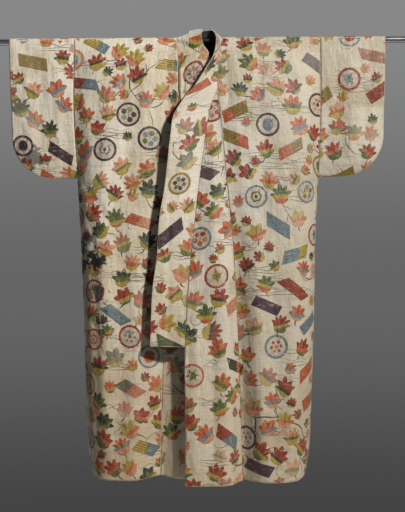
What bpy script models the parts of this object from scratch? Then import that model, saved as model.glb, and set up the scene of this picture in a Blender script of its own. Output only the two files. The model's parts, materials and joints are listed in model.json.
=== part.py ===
"""A lined silk brocade noh robe, hung open at hem, neck and cuffs on a plain round rod.

Metres, +Z up. The rod runs along X through the origin, and the robe's front faces -Y, so the
wearer's left is at +X. A panel is described by the inner face of its cloth, and the wall is
laid on the outside of that face. Down the cloth, a station is its distance from the shoulder
ridge over the rod: positive down the front, negative down the back. Each length of the body
and each sleeve is one cloth over the rod, and is built in two pieces that meet on the ridge.
"""

import math
from collections import namedtuple

import bmesh
import bpy
from mathutils import Vector

# Driving sizes
ROD_RADIUS = 0.0105
ROD_LENGTH = 1.50
ROD_SIDES = 32
ROD_END_BEVEL = 0.001
CLOTH = 0.002
SEAM_GAP = 0.0003
REST_GAP = 0.0004
LINING = 0.001
LINING_GAP = 0.0012
LINING_COLUMNS = (-0.020, -0.006, 0.008, 0.022, 0.036, 0.050, 0.062)
HANG_RADIUS = ROD_RADIUS + REST_GAP
OVER_ROD = HANG_RADIUS * math.pi / 2
HALF_SHOULDERS = 0.434
SLEEVE_WIDTH = 0.229
SLEEVE_DROP = 0.482
SLEEVE_CORNER = 0.150
SLEEVE_TAPER = 0.007
SLEEVE_SWELL = 0.006
CUFF_OPENING = 0.235
FRONT_DROP = 1.538
OVERLAP_DROP = 1.552
BACK_DROP = 1.542
COLLAR_END = 1.072
OVERLAP_TIP = 0.180
NECK_CUT_DEPTH = 0.037
NECK_HALF = {1: 0.084, -1: 0.070}
COLLAR_BULGE = 0.004
SIDE_LIFT = {1: 0.030, -1: 0.026}
VALLEY_LIFT = {1: 0.010, -1: 0.012}
STEP = 0.0005

# Stations shared by all that meets at a seam: distances below the rod's axis down the front and
# the back, round the cut of the neck, and over the rod
FRONT_DROPS = (0.012, 0.026, 0.045, 0.070, 0.100, 0.140, OVERLAP_TIP, 0.210, 0.250, 0.300, 0.360,
               0.420, SLEEVE_DROP, SLEEVE_DROP + 0.004, 0.550, 0.620, 0.700, 0.790, 0.880, 0.970,
               COLLAR_END, 1.170, 1.270, 1.400, 1.540)
BACK_DROPS = (0.034, 0.060, 0.110, 0.180, 0.260, 0.340, 0.420, SLEEVE_DROP, SLEEVE_DROP + 0.004,
              0.550, 0.630, 0.750, 0.880, 1.010, 1.140, 1.270, 1.400, 1.540)
SLEEVE_DROPS = (0.020, 0.050, 0.090, 0.130, 0.170, 0.200, CUFF_OPENING, 0.280, 0.330, 0.370, 0.405,
                0.432, 0.452, 0.466, 0.475, 0.4795, SLEEVE_DROP)
NECK_STATIONS = (-0.037, -0.0363, -0.0342, -0.0308, -0.0262, -0.0210)
RIDGE_STEPS = 4

# Level sections of each front: the free edge of the overlap, two points on it, its seam,
# then the panel to the front corner. Every entry but z is a pair of x and y.
Front = namedtuple("Front", "z edge middle ridge seam flank face corner")
LEFT_FRONT = (
    Front(0.00, (0.081, -0.0109), (0.082, -0.0109), (0.083, -0.0109), (0.084, -0.0109),
          (0.15, -0.0109), (0.27, -0.0109), (0.375, -0.0109)),
    Front(-0.05, (0.0746, -0.034), (0.0756, -0.034), (0.0766, -0.034), (0.0776, -0.034),
          (0.1596, -0.036), (0.2796, -0.034), (0.3696, -0.026)),
    Front(-0.10, (0.0703, -0.046), (0.0713, -0.046), (0.0723, -0.046), (0.0733, -0.046),
          (0.1593, -0.056), (0.2793, -0.053), (0.3693, -0.040)),
    Front(-0.18, (0.0667, -0.062), (0.0677, -0.062), (0.0687, -0.062), (0.0697, -0.062),
          (0.1637, -0.076), (0.2787, -0.072), (0.3707, -0.052)),
    Front(-0.25, (0.0422, -0.070), (0.0532, -0.0715), (0.0652, -0.073), (0.0762, -0.074),
          (0.1682, -0.085), (0.2782, -0.080), (0.3712, -0.060)),
    Front(-0.48, (0.0065, -0.092), (0.0365, -0.096), (0.0685, -0.097), (0.0965, -0.094),
          (0.1685, -0.102), (0.2765, -0.095), (0.3715, -0.072)),
    Front(-0.70, (-0.021, -0.105), (0.025, -0.110), (0.08, -0.110), (0.117, -0.090),
          (0.173, -0.104), (0.275, -0.100), (0.367, -0.076)),
    Front(-0.90, (-0.0415, -0.112), (0.0185, -0.116), (0.0905, -0.115), (0.1285, -0.080),
          (0.1835, -0.104), (0.2785, -0.101), (0.3635, -0.078)),
    Front(-1.07, (-0.0497, -0.115), (0.0143, -0.119), (0.0963, -0.117), (0.1343, -0.076),
          (0.1973, -0.105), (0.2823, -0.101), (0.3593, -0.078)),
    Front(-1.27, (-0.0511, -0.115), (0.0129, -0.120), (0.0989, -0.118), (0.1409, -0.064),
          (0.2089, -0.106), (0.2859, -0.101), (0.3519, -0.077)),
    Front(-1.54, (-0.0531, -0.114), (0.0109, -0.121), (0.0989, -0.117), (0.1469, -0.058),
          (0.2189, -0.106), (0.2869, -0.100), (0.3389, -0.072)),
)
RIGHT_FRONT = (
    Front(0.00, (-0.067, -0.0109), (-0.068, -0.0109), (-0.069, -0.0109), (-0.07, -0.0109),
          (-0.15, -0.0109), (-0.27, -0.0109), (-0.375, -0.0109)),
    Front(-0.05, (-0.0654, -0.032), (-0.0664, -0.032), (-0.0674, -0.032), (-0.0684, -0.032),
          (-0.1604, -0.034), (-0.2804, -0.032), (-0.3704, -0.025)),
    Front(-0.10, (-0.0647, -0.040), (-0.0657, -0.040), (-0.0667, -0.040), (-0.0677, -0.040),
          (-0.1607, -0.048), (-0.2807, -0.046), (-0.3707, -0.036)),
    Front(-0.18, (-0.0653, -0.045), (-0.0663, -0.045), (-0.0673, -0.045), (-0.0683, -0.045),
          (-0.1613, -0.056), (-0.2813, -0.054), (-0.3713, -0.042)),
    Front(-0.25, (-0.0498, -0.046), (-0.0578, -0.0463), (-0.0658, -0.0467), (-0.0738, -0.047),
          (-0.1668, -0.060), (-0.2818, -0.058), (-0.3728, -0.046)),
    Front(-0.48, (-0.0165, -0.049), (-0.0395, -0.050), (-0.0645, -0.050), (-0.0895, -0.050),
          (-0.1755, -0.068), (-0.2835, -0.068), (-0.3745, -0.056)),
    Front(-0.70, (0.006, -0.050), (-0.03, -0.052), (-0.068, -0.052), (-0.105, -0.052),
          (-0.187, -0.072), (-0.285, -0.073), (-0.371, -0.060)),
    Front(-0.90, (0.0225, -0.048), (-0.0245, -0.053), (-0.0715, -0.054), (-0.1185, -0.050),
          (-0.1985, -0.074), (-0.2865, -0.075), (-0.3675, -0.061)),
    Front(-1.07, (0.0323, -0.047), (-0.0227, -0.054), (-0.0757, -0.055), (-0.1257, -0.046),
          (-0.2047, -0.076), (-0.2877, -0.077), (-0.3647, -0.061)),
    Front(-1.27, (0.0359, -0.047), (-0.0241, -0.056), (-0.0791, -0.056), (-0.1331, -0.040),
          (-0.2121, -0.078), (-0.2891, -0.079), (-0.3601, -0.060)),
    Front(-1.54, (0.0369, -0.046), (-0.0261, -0.060), (-0.0811, -0.058), (-0.1411, -0.034),
          (-0.2201, -0.080), (-0.2861, -0.080), (-0.3461, -0.058)),
)
FRONTS = {1: LEFT_FRONT, -1: RIGHT_FRONT}

# Both sides: how far out the side line lies on the left and right, and its y
Side = namedtuple("Side", "z left right y")
SIDES = (
    Side(0.00, 0.434, 0.434, 0.000),
    Side(-0.25, 0.4322, 0.4358, 0.000),
    Side(-0.48, 0.4225, 0.4245, 0.000),
    Side(-0.70, 0.4105, 0.4145, 0.004),
    Side(-0.90, 0.407, 0.4085, 0.010),
    Side(-1.07, 0.4013, 0.4047, 0.013),
    Side(-1.27, 0.3939, 0.4011, 0.018),
    Side(-1.44, 0.3856, 0.3934, 0.023),
    Side(-1.54, 0.3689, 0.3771, 0.026),
)

# The armhole: half the distance between its front and back edges
Armhole = namedtuple("Armhole", "z half")
ARMHOLE = (
    Armhole(0.00, 0.0109), Armhole(-0.05, 0.0125), Armhole(-0.15, 0.0160),
    Armhole(-0.25, 0.0180), Armhole(-0.35, 0.0170), Armhole(-0.43, 0.0120),
    Armhole(-0.465, 0.0060), Armhole(-SLEEVE_DROP, 0.0),
)

# The cuff: half the distance between the front and back of the sleeve's outer edge
CUFF = (
    Armhole(0.00, 0.0109), Armhole(-0.06, 0.0125), Armhole(-0.13, 0.0130),
    Armhole(-0.19, 0.0090), Armhole(-0.22, 0.0040), Armhole(-CUFF_OPENING, 0.0),
)

# The back: each point's x is a share of the distance to the side line
Back = namedtuple("Back", "z corner_share corner_y face_share face_y middle_share middle_y centre_y")
BACK = (
    Back(0.00, 0.864, 0.0109, 0.62, 0.0109, 0.32, 0.0109, 0.0109),
    Back(-0.05, 0.860, 0.018, 0.62, 0.021, 0.32, 0.022, 0.022),
    Back(-0.12, 0.860, 0.029, 0.62, 0.034, 0.32, 0.035, 0.036),
    Back(-0.25, 0.865, 0.040, 0.63, 0.046, 0.32, 0.047, 0.048),
    Back(-0.48, 0.878, 0.050, 0.64, 0.058, 0.32, 0.058, 0.060),
    Back(-0.70, 0.905, 0.060, 0.66, 0.067, 0.33, 0.064, 0.068),
    Back(-0.90, 0.910, 0.068, 0.67, 0.073, 0.33, 0.066, 0.073),
    Back(-1.07, 0.911, 0.073, 0.67, 0.079, 0.34, 0.068, 0.078),
    Back(-1.27, 0.912, 0.079, 0.68, 0.086, 0.34, 0.070, 0.083),
    Back(-1.54, 0.922, 0.086, 0.68, 0.093, 0.35, 0.070, 0.088),
)

# The collar band: a station on the seam that carries it, and the place of its free edge
Band = namedtuple("Band", "station x y z")
LEFT_BAND = (
    Band(-0.037, 0.001, 0.037, 0.038),
    Band(-0.030, 0.034, 0.033, 0.041),
    Band(-0.015, 0.05, 0.016, 0.041),
    Band(0.000, 0.057, -0.008, 0.034),
    Band(0.027, 0.0665, -0.058, 0.004),
    Band(0.067, 0.0576, -0.080, -0.058),
    Band(0.117, 0.0232, -0.093, -0.118),
    Band(0.167, -0.0092, -0.097, -0.168),
    Band(0.217, -0.0415, -0.100, -0.206),
    Band(0.277, -0.083, -0.103, -0.272),
    Band(0.337, -0.0934, -0.106, -0.330),
    Band(0.527, -0.1157, -0.110, -0.516),
    Band(0.649, -0.1356, -0.114, -0.636),
    Band(0.780, -0.1445, -0.117, -0.763),
    Band(0.897, -0.1603, -0.119, -0.878),
    Band(1.072 + 0.0171, -0.1697, -0.121, -1.070),
)
RIGHT_BAND = (
    Band(-0.037, -0.001, 0.037, 0.038),
    Band(-0.030, -0.022, 0.034, 0.042),
    Band(-0.015, -0.006, 0.018, 0.042),
    Band(0.000, 0.018, -0.004, 0.040),
    Band(0.027, 0.015, -0.030, 0.016),
    Band(0.067, 0.0229, -0.040, -0.020),
    Band(0.117, 0.0436, -0.045, -0.058),
    Band(0.187, 0.0549, -0.047, -0.158),
    Band(0.267, 0.0653, -0.049, -0.236),
    Band(0.367, 0.0836, -0.052, -0.337),
    Band(0.517, 0.1045, -0.053, -0.490),
    Band(0.649, 0.1205, -0.053, -0.625),
    Band(0.780, 0.1305, -0.052, -0.757),
    Band(0.897, 0.1427, -0.051, -0.876),
    Band(1.072 + 0.0171, 0.1523, -0.050, -1.070),
)
BANDS = {1: LEFT_BAND, -1: RIGHT_BAND}

# Finishes: base colour, roughness and metallic value
BROCADE = ("brocade", (0.66, 0.60, 0.47), 0.62, 0.0)
DARK_SILK = ("lining_silk", (0.02, 0.02, 0.022), 0.70, 0.0)
STEEL = ("rod_steel", (0.72, 0.72, 0.74), 0.22, 1.0)


def slope(xs, ys, i):
    """The tangent at a knot, from its neighbours."""
    low, high = max(i - 1, 0), min(i + 1, len(xs) - 1)
    return (ys[high] - ys[low]) / (xs[high] - xs[low])


def hermite(p, q, m, n, t):
    """The cubic from p to q with end tangents m and n."""
    t2, t3 = t * t, t * t * t
    return ((2 * t3 - 3 * t2 + 1) * p + (t3 - 2 * t2 + t) * m
            + (3 * t2 - 2 * t3) * q + (t3 - t2) * n)


def along(xs, ys, x):
    """A smooth curve through knots with rising xs, read at x and held at its ends."""
    x = min(max(x, xs[0]), xs[-1])
    i = next(k for k in range(1, len(xs)) if x <= xs[k]) - 1
    width = xs[i + 1] - xs[i]
    m, n = slope(xs, ys, i) * width, slope(xs, ys, i + 1) * width
    return hermite(ys[i], ys[i + 1], m, n, (x - xs[i]) / width)


def at_height(table, name, z, part=None):
    """A named column of a table, read at height z."""
    heights = [-row.z for row in table]
    values = [getattr(row, name) for row in table]
    if part is not None:
        values = [value[part] for value in values]
    return along(heights, values, -z)


def side_line(side, z):
    """x and y of the side line: the armhole's edge, and below it the side seam."""
    return side * at_height(SIDES, "left" if side > 0 else "right", z), at_height(SIDES, "y", z)


def armhole_half(z):
    """Half the opening between the front and the back at the side line."""
    return max(at_height(ARMHOLE, "half", z), SEAM_GAP / 2)


def neck_cut(side, station):
    """x of the back panel's inner edge, which rises round the neck to the shoulder ridge."""
    if -station >= NECK_CUT_DEPTH:
        return side * SEAM_GAP / 2
    return side * NECK_HALF[side] * math.sqrt(1 - (station / NECK_CUT_DEPTH) ** 2)


def section(side, z, station):
    """Control points of a level section, each x and y, from the overlap's free edge to the
    centre back: the seam of the overlap is point 3, the side line points 7 and 8."""
    front = FRONTS[side]
    points = [(at_height(front, name, z, 0), at_height(front, name, z, 1))
              for name in Front._fields[1:]]
    side_x, side_y = side_line(side, z)
    half = armhole_half(z)
    inner = neck_cut(side, station) if station < 0 else 0.0
    points += [(side_x, side_y - half), (side_x, side_y + half)]
    for share, y in (("corner_share", "corner_y"), ("face_share", "face_y"),
                     ("middle_share", "middle_y")):
        out = at_height(BACK, share, z) * abs(side_x)
        points.append((inner + side * (out * (abs(side_x) - abs(inner)) / abs(side_x)),
                       at_height(BACK, y, z)))
    points.append((inner, at_height(BACK, "centre_y", z)))
    return points


SEAM_POINT, SIDE_FRONT, SIDE_BACK, CENTRE_BACK = 3, 7, 8, 12


def between(points, first, last, share, before, after):
    """A point of the smooth curve through points[first..last], share of the way along it.
    before and after are the ghost points that set its end directions."""
    knots = [Vector(p) for p in points[first:last + 1]]
    knots = [Vector(before)] + knots + [Vector(after)]
    spans = [0.0]
    for a, b in zip(knots, knots[1:]):
        spans.append(spans[-1] + max((b - a).length, 1e-6))
    place = spans[1] + share * (spans[-2] - spans[1])
    i = next(k for k in range(2, len(spans) - 1) if place <= spans[k] + 1e-12) - 1
    width = spans[i + 1] - spans[i]
    tangent = [(knots[k + 1] - knots[k - 1]) * (width / (spans[k + 1] - spans[k - 1]))
               for k in (i, i + 1)]
    return hermite(knots[i], knots[i + 1], tangent[0], tangent[1], (place - spans[i]) / width)


def side_ghost(points, side, z, front):
    """What the section bends towards beyond the side line: the sleeve's face at the armhole,
    and the other panel round the side below it."""
    edge = points[SIDE_FRONT if front else SIDE_BACK]
    sleeve = (edge[0] + side * 0.05, edge[1])
    other = points[SIDE_BACK + 1] if front else points[SIDE_FRONT - 1]
    share = min(max((-z - SLEEVE_DROP + 0.07) / 0.09, 0.0), 1.0)
    share = share * share * (3 - 2 * share)
    return tuple(a + (b - a) * share for a, b in zip(sleeve, other))


def height(station, drop):
    """z below the rod's axis at a station; drop is how far this piece hangs in all."""
    hang = abs(station) - OVER_ROD
    return -min(hang, drop) if hang > 0 else 0.0


def body_point(side, piece, share, station):
    """A point of the inner face. piece is overlap, front or back; share runs from the free
    edge to the overlap's seam, from that seam to the side, or from the side to the centre."""
    z = height(station, 9.0)
    points = section(side, z, station)
    if piece == "overlap":
        x, y = between(points, 0, SEAM_POINT, share,
                       tuple(2 * a - b for a, b in zip(points[0], points[1])), points[4])
    elif piece == "front":
        x, y = between(points, SEAM_POINT, SIDE_FRONT, share, points[2],
                       side_ghost(points, side, z, True))
    else:
        beyond = (2 * points[CENTRE_BACK][0] - points[CENTRE_BACK - 1][0], points[CENTRE_BACK - 1][1])
        x, y = between(points, SIDE_BACK, CENTRE_BACK, share,
                       side_ghost(points, side, z, False), beyond)
    if abs(station) < OVER_ROD:
        angle = station / HANG_RADIUS
        return Vector((x, -HANG_RADIUS * math.sin(angle), HANG_RADIUS * math.cos(angle)))
    return Vector((x, y, z))


def outward(at, s, t, turn):
    """The unit normal of the surface at(s, t), from its two directions in the order that turn,
    1 or -1, makes point out of the robe."""
    across = at(s + STEP, t) - at(s - STEP, t)
    down = at(s, t + STEP) - at(s, t - STEP)
    return across.cross(down).normalized() * turn


def new_object(name, mesh, finish, collection):
    """A named object for a mesh, with its own material."""
    obj = bpy.data.objects.new(name, mesh)
    collection.objects.link(obj)
    label, colour, roughness, metallic = finish
    material = bpy.data.materials.new(f"{name}_{label}")
    material.use_nodes = True
    shader = material.node_tree.nodes["Principled BSDF"]
    shader.inputs["Base Color"].default_value = (*colour, 1.0)
    shader.inputs["Roughness"].default_value = roughness
    shader.inputs["Metallic"].default_value = metallic
    mesh.materials.append(material)
    return obj


def mesh_of(name, build):
    """A mesh made by build, with its faces turned outwards and shaded smooth."""
    bm = bmesh.new()
    build(bm)
    bmesh.ops.recalc_face_normals(bm, faces=bm.faces)
    if bm.calc_volume(signed=True) < 0:
        bmesh.ops.reverse_faces(bm, faces=bm.faces)
    mesh = bpy.data.meshes.new(name)
    bm.to_mesh(mesh)
    bm.free()
    mesh.shade_smooth()
    return mesh


def wall(name, inner, outer, finish, collection):
    """A closed wall between two grids of points, each a list of rows."""
    rows, columns = len(inner), len(inner[0])

    def build(bm):
        low = [[bm.verts.new(p) for p in row] for row in inner]
        high = [[bm.verts.new(p) for p in row] for row in outer]
        for i in range(rows - 1):
            for j in range(columns - 1):
                for grid in (low, high):
                    corners = (grid[i][j], grid[i][j + 1], grid[i + 1][j + 1], grid[i + 1][j])
                    for three in ((0, 1, 2), (0, 2, 3)):
                        bm.faces.new([corners[k] for k in three])
        rim = [(0, j) for j in range(columns)] + [(i, columns - 1) for i in range(1, rows)]
        rim += [(rows - 1, j) for j in range(columns - 2, -1, -1)]
        rim += [(i, 0) for i in range(rows - 2, 0, -1)]
        for (i, j), (k, m) in zip(rim, rim[1:] + rim[:1]):
            bm.faces.new((low[i][j], low[k][m], high[k][m], high[i][j]))

    return new_object(name, mesh_of(name, build), finish, collection)


def hem_scaled(station, drop):
    """A station below the collar's end, stretched so that the cloth ends at drop."""
    start = OVER_ROD + COLLAR_END
    if abs(station) <= start:
        return station
    share = (abs(station) - start) / (FRONT_DROPS[-1] - COLLAR_END)
    return math.copysign(start + share * (drop - COLLAR_END), station)


def hem_drop(side, piece, share):
    """How far a piece hangs below the rod at a share of its width. The hem rises into the
    valley at the overlap's seam and towards the side."""
    if piece == "overlap":
        level = OVERLAP_DROP if side > 0 else FRONT_DROP
        return level - VALLEY_LIFT[side] * share ** 3
    if piece == "front":
        level = OVERLAP_DROP - 0.006 if side > 0 else FRONT_DROP
        return level - VALLEY_LIFT[side] * (1 - share) ** 4 - SIDE_LIFT[side] * share ** 5
    return BACK_DROP - SIDE_LIFT[side] * (1 - share) ** 5


def ridge_stations():
    """Stations over the rod, from its back to its front."""
    return [OVER_ROD * i / RIDGE_STEPS for i in range(-RIDGE_STEPS, RIDGE_STEPS + 1)]


def panel_stations(drops, neck=()):
    """Stations down one face of the cloth, from the top of the rod to the last of the drops."""
    return ([SEAM_GAP / 2] + ridge_stations()[RIDGE_STEPS + 1:] + [-s for s in reversed(neck)]
            + [OVER_ROD + d for d in drops])


def body_panel(side, face, name, collection):
    """Half of a length of cloth: its front or its back, from the top of the rod to the hem.
    Shares run from the front opening or the centre back out to the side."""
    shares = [0.0, 0.06, 0.14, 0.23, 0.32, 0.42, 0.53, 0.64, 0.75, 0.84, 0.91, 0.96, 1.0]
    front = face == "front"
    if front:
        stations = panel_stations(FRONT_DROPS)
    else:
        stations = [-s for s in panel_stations(BACK_DROPS, NECK_STATIONS)]

    def at(share, station):
        share = share if front else 1 - share
        return body_point(side, face, share, hem_scaled(station, hem_drop(side, face, share)))

    def step(share, station):
        """The wall's step, kept in the plane of the seam at the centre back and the armhole,
        and kept to its own half at the side seam."""
        normal = panel_normal(side, at, share, station)
        hang = abs(station) - OVER_ROD
        if (share == 0.0 and not front) or (share == 1.0 and hang <= SLEEVE_DROP + 0.005):
            normal.x = 0.0
        elif share == 1.0:
            normal.y = min(normal.y, 0.0) if front else max(normal.y, 0.0)
        return normal.normalized() * CLOTH

    inner, outer = [], []
    for station in stations:
        row = [at(share, station) for share in shares]
        if front:
            row[0] += (row[1] - row[0]).normalized() * SEAM_GAP / 2
        inner.append(row)
        outer.append([p + step(share, station) for p, share in zip(row, shares)])
    return wall(name, inner, outer, BROCADE, collection)


def panel_normal(side, at, share, station):
    """The outward normal of a panel, taken a little inside it at its edges."""
    share = min(max(share, 2 * STEP), 1 - 2 * STEP)
    return outward(at, share, station if station else STEP, -side)


def overlap_panel(side, name, collection):
    """The narrow panel along the front opening, from its pointed top to the hem."""
    shares = [0.0, 0.2, 0.4, 0.6, 0.8, 1.0]

    def at(share, station):
        return body_point(side, "overlap", share,
                          hem_scaled(station, hem_drop(side, "overlap", share)))

    inner, outer = [], []
    for station in [OVER_ROD + d for d in FRONT_DROPS if d >= OVERLAP_TIP]:
        row = [at(share, station) for share in shares]
        row[-1] += (row[-2] - row[-1]).normalized() * SEAM_GAP / 2
        inner.append(row)
        outer.append([p + panel_normal(side, at, share, station) * CLOTH
                      for p, share in zip(row, shares)])
    return wall(name, inner, outer, BROCADE, collection)


def carrier(side, station):
    """What carries the collar at a station: the seam point, the panel's outward normal there,
    and the direction out of the panel across the seam. The seam runs round the back neckline,
    down the front's inner edge, then down the overlap's free edge."""
    if station < 0:
        piece, edge_share, inside = "back", 1.0, 0.97
    elif station < OVER_ROD + OVERLAP_TIP - 1e-6:
        piece, edge_share, inside = "front", 0.0, 0.03
    else:
        piece, edge_share, inside = "overlap", 0.0, 0.05

    def at(share, place):
        return body_point(side, piece, share, place)

    edge = at(edge_share, station)
    normal = panel_normal(-side if piece == "back" else side, at, edge_share, station)
    if station <= NECK_STATIONS[0] + STEP:
        return edge, normal, Vector((0.0, 0.0, 1.0))
    along_edge = at(edge_share, station + STEP) - at(edge_share, station - STEP)
    out = normal.cross(along_edge).normalized()
    return edge, normal, out if out.dot(edge - at(inside, station)) > 0 else -out


def band_edge(side, station):
    """The free edge of the collar band at a station."""
    rows = BANDS[side]
    stations = [row.station for row in rows]
    return Vector([along(stations, [getattr(row, axis) for row in rows], station)
                   for axis in ("x", "y", "z")])


def band_point(side, share, station):
    """A point of the collar band, from its seam to its free edge, with a soft roll across."""
    seam, _, out = carrier(side, station)
    start = seam + out * SEAM_GAP
    roll = min(max((station - 0.03) / 0.1, 0.0), 1.0) * COLLAR_BULGE
    point = start + (band_edge(side, station) - start) * share
    return point - Vector((0.0, roll * math.sin(math.pi * share), 0.0))


def collar_band(side, name, collection):
    """One half of the collar, from the centre back to its square end on the front."""
    shares = [0.0, 0.12, 0.3, 0.5, 0.7, 0.88, 1.0]
    stations = (list(NECK_STATIONS) + ridge_stations()
                + [OVER_ROD + d for d in FRONT_DROPS if d <= COLLAR_END])

    def at(share, station):
        return band_point(side, share, station)

    inner, outer = [], []
    for station in stations:
        _, normal, _ = carrier(side, station)
        row = [at(share, station) for share in shares]
        near = max(station, NECK_STATIONS[0] + 2 * STEP)
        lifted = [row[0] + normal * CLOTH]
        for point, share in zip(row[1:], shares[1:]):
            lifted.append(point + outward(at, min(share, 1 - STEP), near, side) * CLOTH)
        if station == NECK_STATIONS[0]:
            for point in row + lifted:
                point.x = side * SEAM_GAP / 2
        inner.append(row)
        outer.append(lifted)
    return wall(name, inner, outer, BROCADE, collection)


def sleeve_outline(side, z):
    """x of the sleeve's outer edge: nearly straight, then a round lower corner."""
    tip = HALF_SHOULDERS + SLEEVE_WIDTH
    straight = SLEEVE_DROP - SLEEVE_CORNER
    taper = SLEEVE_TAPER * min(-z / straight, 1.0)
    if -z <= straight:
        return side * (tip - taper)
    rise = min((-z - straight) / SLEEVE_CORNER, 1.0)
    return side * (tip - taper - SLEEVE_CORNER * (1 - math.sqrt(1 - rise * rise)))


def sleeve_point(side, share, station):
    """A point of the sleeve's inner face, from the armhole to the outer edge."""
    z = height(station, SLEEVE_DROP)
    seam_x = side_line(side, z)[0] + side * SEAM_GAP
    x = seam_x + (sleeve_outline(side, z) - seam_x) * share
    if abs(station) < OVER_ROD:
        angle = station / HANG_RADIUS
        return Vector((x, -HANG_RADIUS * math.sin(angle), HANG_RADIUS * math.cos(angle)))
    inner_half = at_height(ARMHOLE, "half", z)
    outer_half = at_height(CUFF, "half", z) if -z < CUFF_OPENING else 0.0
    swell = SLEEVE_SWELL * math.sin(math.pi * share) * min(-z / 0.05, 1.0)
    swell *= min((SLEEVE_DROP + z) / 0.05, 1.0)
    half = max(inner_half + (outer_half - inner_half) * share + swell, SEAM_GAP / 2)
    return Vector((x, -half if station > 0 else half, z))


def sleeve_panel(side, face, name, collection):
    """The front or back of a sleeve, sewn to the other along its foot and up its outer edge as
    far as the cuff's opening, and open at the armhole."""
    shares = [0.0, 0.12, 0.26, 0.42, 0.58, 0.73, 0.86, 0.95, 1.0]
    turn = 1 if face == "front" else -1
    stations = [turn * s for s in panel_stations(SLEEVE_DROPS)]

    def at(share, station):
        return sleeve_point(side, share, station)

    def step(share, station):
        inside = min(abs(station), OVER_ROD + SLEEVE_DROP - 2 * STEP) * turn
        normal = panel_normal(side, at, share, inside)
        if share == 0.0:
            normal.x = 0.0
        return normal.normalized() * CLOTH

    inner = [[at(share, station) for share in shares] for station in stations]
    outer = [[p + step(share, station) for p, share in zip(row, shares)]
             for row, station in zip(inner, stations)]
    return wall(name, inner, outer, BROCADE, collection)


def neck_lining(name, collection):
    """The dark lining seen through the neck: up the inside of the back, then up the inside of
    the standing collar to just under its edge."""
    drops = (0.200, 0.150, 0.110, 0.080, 0.055, 0.036)
    heights = (0.10, 0.28, 0.46, 0.64, 0.80, 0.93)
    inner, outer = [], []
    for offset, grid in ((LINING_GAP + LINING, inner), (LINING_GAP, outer)):
        columns = []
        for half in LINING_COLUMNS:
            side = 1 if half >= 0 else -1
            station = -NECK_CUT_DEPTH * math.sqrt(1 - (half / NECK_HALF[side]) ** 2)
            column = [Vector((half, at_height(BACK, "centre_y", -d) - offset, -d)) for d in drops]
            seam, outwards, _ = carrier(side, station)
            column.append(seam - outwards * offset)
            for share in heights:
                point = band_point(side, share, station)
                back = band_point(side, share, station - STEP)
                ahead = band_point(side, share, station + STEP)
                up = band_point(side, share + 0.02, station) - point
                normal = (ahead - back).cross(up).normalized()
                if normal.y > 0:
                    normal = -normal
                column.append(point + normal * offset)
            columns.append(column)
        grid.extend([list(row) for row in zip(*columns)])
    return wall(name, inner, outer, DARK_SILK, collection)


def rod(name, collection):
    """The plain round rod through both sleeves."""
    def build(bm):
        bmesh.ops.create_cone(bm, cap_ends=True, segments=ROD_SIDES, radius1=ROD_RADIUS,
                              radius2=ROD_RADIUS, depth=ROD_LENGTH)

    obj = new_object(name, mesh_of(name, build), STEEL, collection)
    obj.rotation_euler = (0.0, math.pi / 2, 0.0)
    bevel = obj.modifiers.new("end_bevel", "BEVEL")
    bevel.width = ROD_END_BEVEL
    bevel.segments = 2
    bevel.limit_method = "ANGLE"
    bevel.angle_limit = math.radians(60)
    return obj


def clear_scene():
    """Removes what the startup scene holds."""
    for obj in list(bpy.data.objects):
        bpy.data.objects.remove(obj)


def main():
    clear_scene()
    robe = bpy.data.collections.new("noh_robe")
    bpy.context.scene.collection.children.link(robe)
    rod("rod", robe)
    for side, word in ((1, "left"), (-1, "right")):
        for face in ("front", "back"):
            body_panel(side, face, f"{face}_{word}", robe)
            sleeve_panel(side, face, f"sleeve_{word}_{face}", robe)
        overlap_panel(side, f"overlap_{word}", robe)
        collar_band(side, f"collar_{word}", robe)
    neck_lining("neck_lining", robe)


main()
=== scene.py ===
"""A lined silk brocade noh robe on a round steel rod, dressed over its solid model.

Metres, +Z up. The rod runs along X through the origin and the robe's front faces -Y, so the
wearer's left is at +X. Down the cloth, a station is the distance from the shoulder ridge over the
rod: positive down the front, negative down the back. Each length of the body and each sleeve is
one cloth over the rod. Woven figures are thin patches laid on the cloth, cut off at its edges.
"""

from __future__ import annotations

import json
import logging
import math
import random
from collections.abc import Callable, Sequence
from dataclasses import dataclass, field
from enum import Enum
from typing import NamedTuple

import bpy
import numpy as np
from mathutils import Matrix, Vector
from mathutils.geometry import delaunay_2d_cdt

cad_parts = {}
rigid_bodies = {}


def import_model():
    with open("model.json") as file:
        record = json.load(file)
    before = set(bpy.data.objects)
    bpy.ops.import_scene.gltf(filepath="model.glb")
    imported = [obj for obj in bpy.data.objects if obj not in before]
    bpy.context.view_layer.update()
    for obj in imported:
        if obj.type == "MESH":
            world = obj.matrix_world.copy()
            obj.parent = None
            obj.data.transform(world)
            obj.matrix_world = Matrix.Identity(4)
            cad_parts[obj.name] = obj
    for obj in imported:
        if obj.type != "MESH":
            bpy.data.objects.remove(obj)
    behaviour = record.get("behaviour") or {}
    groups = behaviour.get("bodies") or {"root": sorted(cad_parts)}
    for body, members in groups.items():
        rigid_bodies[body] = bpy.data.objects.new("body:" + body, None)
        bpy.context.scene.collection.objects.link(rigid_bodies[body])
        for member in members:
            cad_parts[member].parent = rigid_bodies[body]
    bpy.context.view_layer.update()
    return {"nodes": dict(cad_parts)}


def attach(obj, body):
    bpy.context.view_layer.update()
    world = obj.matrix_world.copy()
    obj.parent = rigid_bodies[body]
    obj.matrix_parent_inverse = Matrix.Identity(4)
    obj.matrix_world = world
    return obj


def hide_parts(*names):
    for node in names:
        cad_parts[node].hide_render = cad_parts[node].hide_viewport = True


log = logging.getLogger("noh_robe")
Array = np.ndarray
Socket = bpy.types.NodeSocket
Colour = tuple[float, float, float]

SIDES = {1: "left", -1: "right"}


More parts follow.
